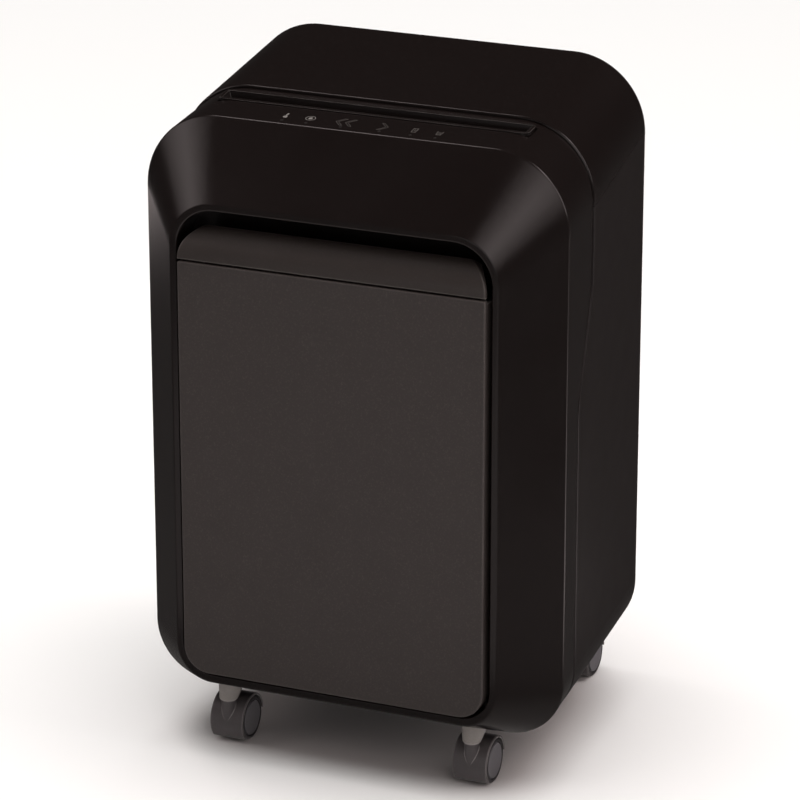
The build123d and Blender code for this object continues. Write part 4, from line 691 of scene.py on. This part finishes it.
@dataclass
class PaperEntry(SubAssembly):
    """The paper slot and the touch strip in front of it, with its printed signs.

    Attributes:
        sign_y: how far back the signs lie, in millimetres.
        ink: the thickness of the print.
        sunk: how much of it lies in the skin.
        fine: the width of its thin lines.
        bold: the width of its stout lines.
        hair: the width of the arrows' outlines.
        arrow: the length of an arrow head.
        arrow_half: half its height.
        arrow_stem: how far its two points lie apart.
    """

    sign_y: float = -80.0
    ink: float = 0.2
    sunk: float = 0.05
    fine: float = 0.42
    bold: float = 0.55
    hair: float = 0.294
    arrow: float = 6.8
    arrow_half: float = 5.984
    arrow_stem: float = 1.904

    def finishes(self) -> dict[str, Finish]:
        """Gives the finish of each piece of the entry."""
        return {"throat_liner": RIM_HIGHLIGHT_ABS, "paper_sensors": BLACK_PP,
                "indicator_lenses": SMOKED_PIPE, "touch_board": GREEN_BOARD}

    def build(self) -> None:
        """Prints each sign on the strip."""
        for sign in Sign:
            art = Artwork()
            self.draw(art, sign)
            start = Vector((sign.value * MM, self.sign_y * MM, LOOK_DOWN_FROM))
            place, normal = self.surface("front_fascia", start, Vector((0.0, 0.0, -1.0)))
            lie = self.lay_on(place, normal, Vector((1.0, 0.0, 0.0)), self.sunk)
            piece = art.raised("sign_" + sign.name.lower(), self.ink, lie)
            self.shop.coat(piece, PALE_INK if sign in (Sign.WARM, Sign.HAND) else DIM_INK)
            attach(piece, "cabinet")

    def draw(self, art: Artwork, sign: Sign) -> None:
        """Draws one sign about its middle, in millimetres.

        Args:
            art: what takes the shapes.
            sign: which sign it is.
        """
        if sign is Sign.WARM:
            art.line([(0.0, -1.0), (0.0, 4.0)], 1.3)
            art.fill(art.disc((0.0, -2.4), 1.7))
        elif sign is Sign.HAND:
            art.line(art.disc((0.0, 0.0), 3.6, 32), self.fine, True)
            art.fill([(-1.3, -1.9), (1.0, -1.9), (1.7, -0.4), (1.4, 0.2), (-1.3, 0.2)])
            for x, tip in ((-1.0, 1.6), (-0.3, 2.1), (0.4, 2.0), (1.05, 1.5)):
                art.line([(x, 0.25), (x, tip)], 0.5)
        elif sign is Sign.BACKWARD:
            for tip in (-7.0, 0.2):
                self.chevron(art, tip, -1.0)
        elif sign is Sign.FORWARD:
            self.chevron(art, 3.6, 1.0)
        elif sign is Sign.BIN_OUT:
            art.line([(-1.5, -3.4), (1.5, -3.4), (1.7, 3.4), (-1.7, 3.4)], self.bold, True)
            art.line([(0.0, -1.6), (0.0, 1.6)], self.bold)
        else:
            art.line([(-2.1, 3.2), (-1.6, -3.0), (1.6, -3.0), (2.1, 3.2)], self.bold)
            for y in (-1.5, 0.0, 1.5):
                art.line([(-1.15, y), (1.15, y)], self.fine)

    def chevron(self, art: Artwork, tip: float, side: float) -> None:
        """Draws one outlined arrow head.

        Args:
            art: what takes the shapes.
            tip: where its point is.
            side: which way it points, 1 to the right and -1 to the left.
        """
        half, stem = self.arrow_half, side * self.arrow_stem
        back = tip - side * self.arrow
        outline = [(back, half), (tip - stem, 0.0), (back, -half), (back + stem, -half),
                   (tip, 0.0), (back + stem, half)]
        art.line(outline, self.hair, True)


@dataclass
class ShreddingUnit(SubAssembly):
    """The cutters, their frame, the gear train and the motor."""

    def finishes(self) -> dict[str, Finish]:
        """Gives the finish of each piece of the unit.

        Returns:
            Finishes by the pieces' names.
        """
        coats: dict[str, Finish] = {
            "motor": MOTOR_STEEL, "motor_cradle": BLACK_PP, "idler_gear": IVORY_NYLON,
            "cutter_bearings": SINTERED_BRONZE, "plate_screws": BLACK_SCREW,
            "front_stripper": COMB_NYLON, "rear_stripper": COMB_NYLON,
            "control_board": GREEN_BOARD}
        for name in ("left_side_plate", "right_side_plate", "gear_plate", "tie_rods",
                     "idler_axle"):
            coats[name] = ZINC_SHEET
        for name in ("front_cutter", "rear_cutter", "front_cutter_gear", "rear_cutter_gear",
                     "motor_pinion"):
            coats[name] = GROUND_STEEL
        return coats


@dataclass
class WasteBin(SubAssembly):
    """The pull-out bin with its door and grip, and the switch that feels it."""

    def finishes(self) -> dict[str, Finish]:
        """Gives the finish of each piece of the bin."""
        return {"bin_tub": BLACK_PP, "door_panel": GRAINED_ABS, "door_grip": SMOOTH_ABS,
                "door_screws": BLACK_SCREW, "bin_switch": BLACK_PP,
                "bin_switch_button": WHITE_ACETAL}


@dataclass
class RearPanel(SubAssembly):
    """The mains switch and the cord bush in the sunk panel at the back.

    Attributes:
        mark: the height of the two marks on the rocker, in millimetres.
        line: the width of their lines.
        raise_mm: how thick they are.
        sunk: how much of that lies in the rocker.
        bar_share: the bar's height on the rocker, as a share of the rocker's.
        ring_share: the ring's.
    """

    mark: float = 3.2
    line: float = 0.7
    raise_mm: float = 0.2
    sunk: float = 0.05
    bar_share: float = 0.72
    ring_share: float = 0.28

    def finishes(self) -> dict[str, Finish]:
        """Gives the finish of each piece of the panel."""
        return {"switch_housing": BLACK_PP, "rocker_button": ROCKER_NYLON,
                "cord_bush": SOFT_VINYL}

    def build(self) -> None:
        """Prints the bar and the ring of a mains switch on the rocker's two halves."""
        bar, ring = Artwork(), Artwork()
        bar.line([(0.0, -self.mark / 2.0), (0.0, self.mark / 2.0)], self.line)
        ring.line(ring.disc((0.0, 0.0), self.mark / 2.0), self.line, True)
        self.print_mark("rocker_bar", bar, self.bar_share)
        self.print_mark("rocker_ring", ring, self.ring_share)

    def print_mark(self, name: str, art: Artwork, share: float) -> None:
        """Prints one mark on the rocker.

        Args:
            name: the mark's name.
            art: its shape.
            share: its height on the rocker, as a share of the rocker's.
        """
        low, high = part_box("rocker_button")
        middle = (low + high) / 2.0
        start = Vector((middle.x, high.y + LOOK_IN_FROM, low.z + (high.z - low.z) * share))
        place, normal = self.surface("rocker_button", start, Vector((0.0, -1.0, 0.0)))
        lie = self.lay_on(place, normal, Vector((-1.0, 0.0, 0.0)), self.sunk)
        piece = art.raised(name, self.raise_mm, lie)
        self.shop.coat(piece, PALE_INK)
        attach(piece, "rocker")


@dataclass
class Casters(SubAssembly):
    """The four twin-wheel casters and the sockets that they turn in."""

    def finishes(self) -> dict[str, Finish]:
        """Gives the finish of each caster piece.

        Returns:
            Finishes by the pieces' names.
        """
        coats: dict[str, Finish] = {"caster_sockets": GREY_PP}
        for corner in Corner:
            stem = corner.value + "_caster_"
            coats.update({stem + "hood": GREY_NYLON, stem + "pins": DRAWN_PIN,
                          stem + "left_wheel": GREY_WHEEL, stem + "right_wheel": GREY_WHEEL})
        return coats


@dataclass(frozen=True)
class Softbox:
    """One soft studio lamp, aimed at the middle of the shredder.

    Attributes:
        name: what it does.
        azimuth: its bearing from the front, to the right, in degrees.
        elevation: its height over the horizon, in degrees.
        distance: how far off it stands, in metres.
        width: its width in metres.
        height: its height in metres.
        glow: how bright its middle looks, as radiance.
        veils: how many lamps lie inside each other, so that it fades towards its rim.
        flat: whether it lies on the floor and faces up.
        tint: its colour, as linear light.
    """

    name: str
    azimuth: float
    elevation: float
    distance: float
    width: float
    height: float
    glow: float
    veils: int = 1
    flat: bool = False
    tint: tuple[float, float, float] = (1.0, 0.87, 0.86)

    def build(self, target: Vector) -> None:
        """Sets the lamp up, the outermost veil first.

        Args:
            target: what it is aimed at.
        """
        back = bearing(self.azimuth, self.elevation)
        aim = Vector((0.0, 0.0, 1.0)) if self.flat else -back
        for veil in range(self.veils):
            share = 1.0 - veil / self.veils
            lamp = bpy.data.lights.new(self.name, "AREA")
            lamp.shape, lamp.color = "RECTANGLE", self.tint
            lamp.size, lamp.size_y = self.width * share, self.height * share
            lamp.energy = WATTS_PER_GLOW * lamp.size * lamp.size_y * self.glow / self.veils
            stand = bpy.data.objects.new(self.name, lamp)
            stand.location = target + back * (self.distance - veil * VEIL_STEP)
            stand.rotation_euler = aim.to_track_quat("-Z", "Y").to_euler()
            stand.visible_camera = False
            bpy.context.scene.collection.objects.link(stand)


def bearing(azimuth: float, elevation: float) -> Vector:
    """Gives the direction from the object to something that stands round it.

    Args:
        azimuth: degrees from the front, to the right.
        elevation: degrees over the horizon.

    Returns:
        A vector of length one.
    """
    turn, lift = math.radians(azimuth), math.radians(elevation)
    level = math.cos(lift)
    return Vector((math.sin(turn) * level, -math.cos(turn) * level, math.sin(lift)))


@dataclass
class Studio:
    """The pale floor, the soft light and the camera.

    Attributes:
        floor_size: the floor's side in metres.
        azimuth: the camera's bearing in degrees.
        elevation: its height over the horizon in degrees.
        distance: how far off it stands, in metres.
        sensor: the width of its sensor in millimetres.
        lens: its focal length in millimetres.
        sight: how far it sees, in metres.
        target: what it looks at, in metres.
        sky: the strength of the overhead light.
        sky_spread: how wide the overhead light is, in degrees.
        room: the room's glow below and above the horizon, as the covers mirror it.
        room_band: the heights between which it changes, as sines.
        ground: the glow that the ground adds, from straight below to where it ends.
        ground_band: the heights between which it changes, as sines.
        room_tint: the colour of both.
        backdrop: how bright the backdrop looks to the camera.
        boxes: the lamps.
    """

    floor_size: float = 40.0
    azimuth: float = 23.0
    elevation: float = 19.9
    distance: float = 3.0092
    sensor: float = 36.0
    lens: float = 180.9
    sight: float = 100.0
    target: tuple[float, float, float] = (0.0, -0.0102, 0.2572)
    sky: float = 3.1
    sky_spread: float = 60.0
    room: Point = (0.045, 0.015)
    room_band: Point = (-0.25, 0.15)
    ground: Point = (0.15, 0.0)
    ground_band: Point = (-0.85, -0.3)
    room_tint: tuple[float, float, float, float] = (1.0, 0.92, 0.89, 1.0)
    backdrop: float = 0.9
    boxes: tuple[Softbox, ...] = (
        # Bands on the fascia's two front corners.
        Softbox("left_side_box", azimuth=-65.0, elevation=30.0, distance=2.2,
                width=2.2, height=1.4, glow=1.1, veils=6),
        Softbox("right_side_box", azimuth=38.0, elevation=31.0, distance=2.2,
                width=2.0, height=1.6, glow=1.25, veils=6),
        # Lines along the fascia's ridge and its right edge.
        Softbox("right_strip", azimuth=96.0, elevation=33.0, distance=2.2,
                width=0.9, height=2.0, glow=1.6),
        Softbox("ridge_box", azimuth=-98.0, elevation=68.0, distance=2.5,
                width=0.6, height=0.6, glow=4.0),
        Softbox("ridge_end_box", azimuth=118.0, elevation=53.0, distance=2.5,
                width=0.9, height=0.7, glow=2.5),
        # Fill for the door and the grip.
        Softbox("front_fill", azimuth=6.0, elevation=8.0, distance=3.2,
                width=2.6, height=0.9, glow=0.5, tint=(1.0, 0.95, 0.94)),
        # Cards on the floor that the upright covers mirror.
        Softbox("floor_card", azimuth=0.0, elevation=-20.0, distance=0.7,
                width=1.0, height=0.7, glow=0.25, flat=True),
        Softbox("corner_floor_card", azimuth=62.5, elevation=-23.5, distance=0.615,
                width=0.35, height=0.3, glow=0.06, flat=True),
        Softbox("right_floor_card", azimuth=96.6, elevation=-15.7, distance=0.904,
                width=1.0, height=0.35, glow=1.2, flat=True),
        Softbox("rear_floor_card", azimuth=-149.7, elevation=-10.8, distance=1.309,
                width=1.5, height=1.0, glow=0.9, flat=True),
        Softbox("rear_right_floor_card", azimuth=130.5, elevation=-8.1, distance=1.727,
                width=0.6, height=0.7, glow=0.45, flat=True),
    )

    def build(self) -> None:
        """Sets up floor, lamps, surroundings and camera."""
        self.lay_floor()
        for box in self.boxes:
            box.build(Vector(self.target))
        lamp = bpy.data.lights.new("overhead", "SUN")
        lamp.energy, lamp.angle = self.sky, math.radians(self.sky_spread)
        stand = bpy.data.objects.new("overhead", lamp)
        stand.visible_glossy = False
        bpy.context.scene.collection.objects.link(stand)
        self.surround()
        self.aim()

    def lay_floor(self) -> None:
        """Lays one plain floor, which the polished covers don't mirror."""
        mesh = bmesh.new()
        bmesh.ops.create_grid(mesh, x_segments=2, y_segments=2, size=self.floor_size / 2.0)
        data = bpy.data.meshes.new("floor")
        mesh.to_mesh(data)
        mesh.free()
        piece = bpy.data.objects.new("floor", data)
        bpy.context.scene.collection.objects.link(piece)
        data.materials.append(FLOOR_PAINT.material())
        piece.visible_glossy = False

    def surround(self) -> None:
        """Gives a pale backdrop to the camera and a dim room to the reflections."""
        world = bpy.data.worlds.new("studio")
        bpy.context.scene.world = world
        world.use_nodes = True
        tree = world.node_tree
        tree.nodes.clear()
        place = add(tree, "TexCoord").outputs["Generated"]
        up = add(tree, "SeparateXYZ", links={"Vector": place}).outputs["Z"]
        room = add(tree, "MapRange", span(self.room_band) | reach(self.room),
                   {"Value": up}).outputs["Result"]
        ground = add(tree, "MapRange", span(self.ground_band) | reach(self.ground),
                     {"Value": up}).outputs["Result"]
        dim = add(tree, "Math", {"operation": "ADD"}, {0: room, 1: ground}).outputs["Value"]
        seen = add(tree, "LightPath").outputs["Is Camera Ray"]
        strength = add(tree, "Mix", {NUMBER_B: self.backdrop}, {FACTOR: seen, NUMBER_A: dim})
        tint = add(tree, "Mix", {"data_type": "RGBA", COLOUR_A: self.room_tint, COLOUR_B: WHITE},
                   {FACTOR: seen})
        glow = add(tree, "Background", links={"Color": tint.outputs[COLOUR_OUT],
                                              "Strength": strength.outputs[NUMBER_OUT]})
        add(tree, "OutputWorld", links={"Surface": glow.outputs["Background"]})
        bpy.context.scene.view_settings.view_transform = "Standard"

    def aim(self) -> None:
        """Puts the camera at the photograph's viewing angle."""
        data = bpy.data.cameras.new("camera")
        data.lens, data.sensor_width, data.sensor_fit = self.lens, self.sensor, "HORIZONTAL"
        data.clip_end = self.sight
        camera = bpy.data.objects.new("camera", data)
        back = bearing(self.azimuth, self.elevation)
        camera.location = Vector(self.target) + back * self.distance
        camera.rotation_euler = (-back).to_track_quat("-Z", "Y").to_euler()
        bpy.context.scene.collection.objects.link(camera)
        bpy.context.scene.camera = camera


def main() -> None:
    """Dresses every sub-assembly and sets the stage."""
    logging.basicConfig(level=logging.INFO, format="%(message)s")
    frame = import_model()
    Studio().build()
    shop = PaintShop()
    for kind in (Cabinet, PaperEntry, ShreddingUnit, WasteBin, RearPanel, Casters):
        group = kind(frame, shop)
        group.dress()
        group.build()
        log.info("%s done", kind.__name__)


if __name__ == "__main__":
    main()
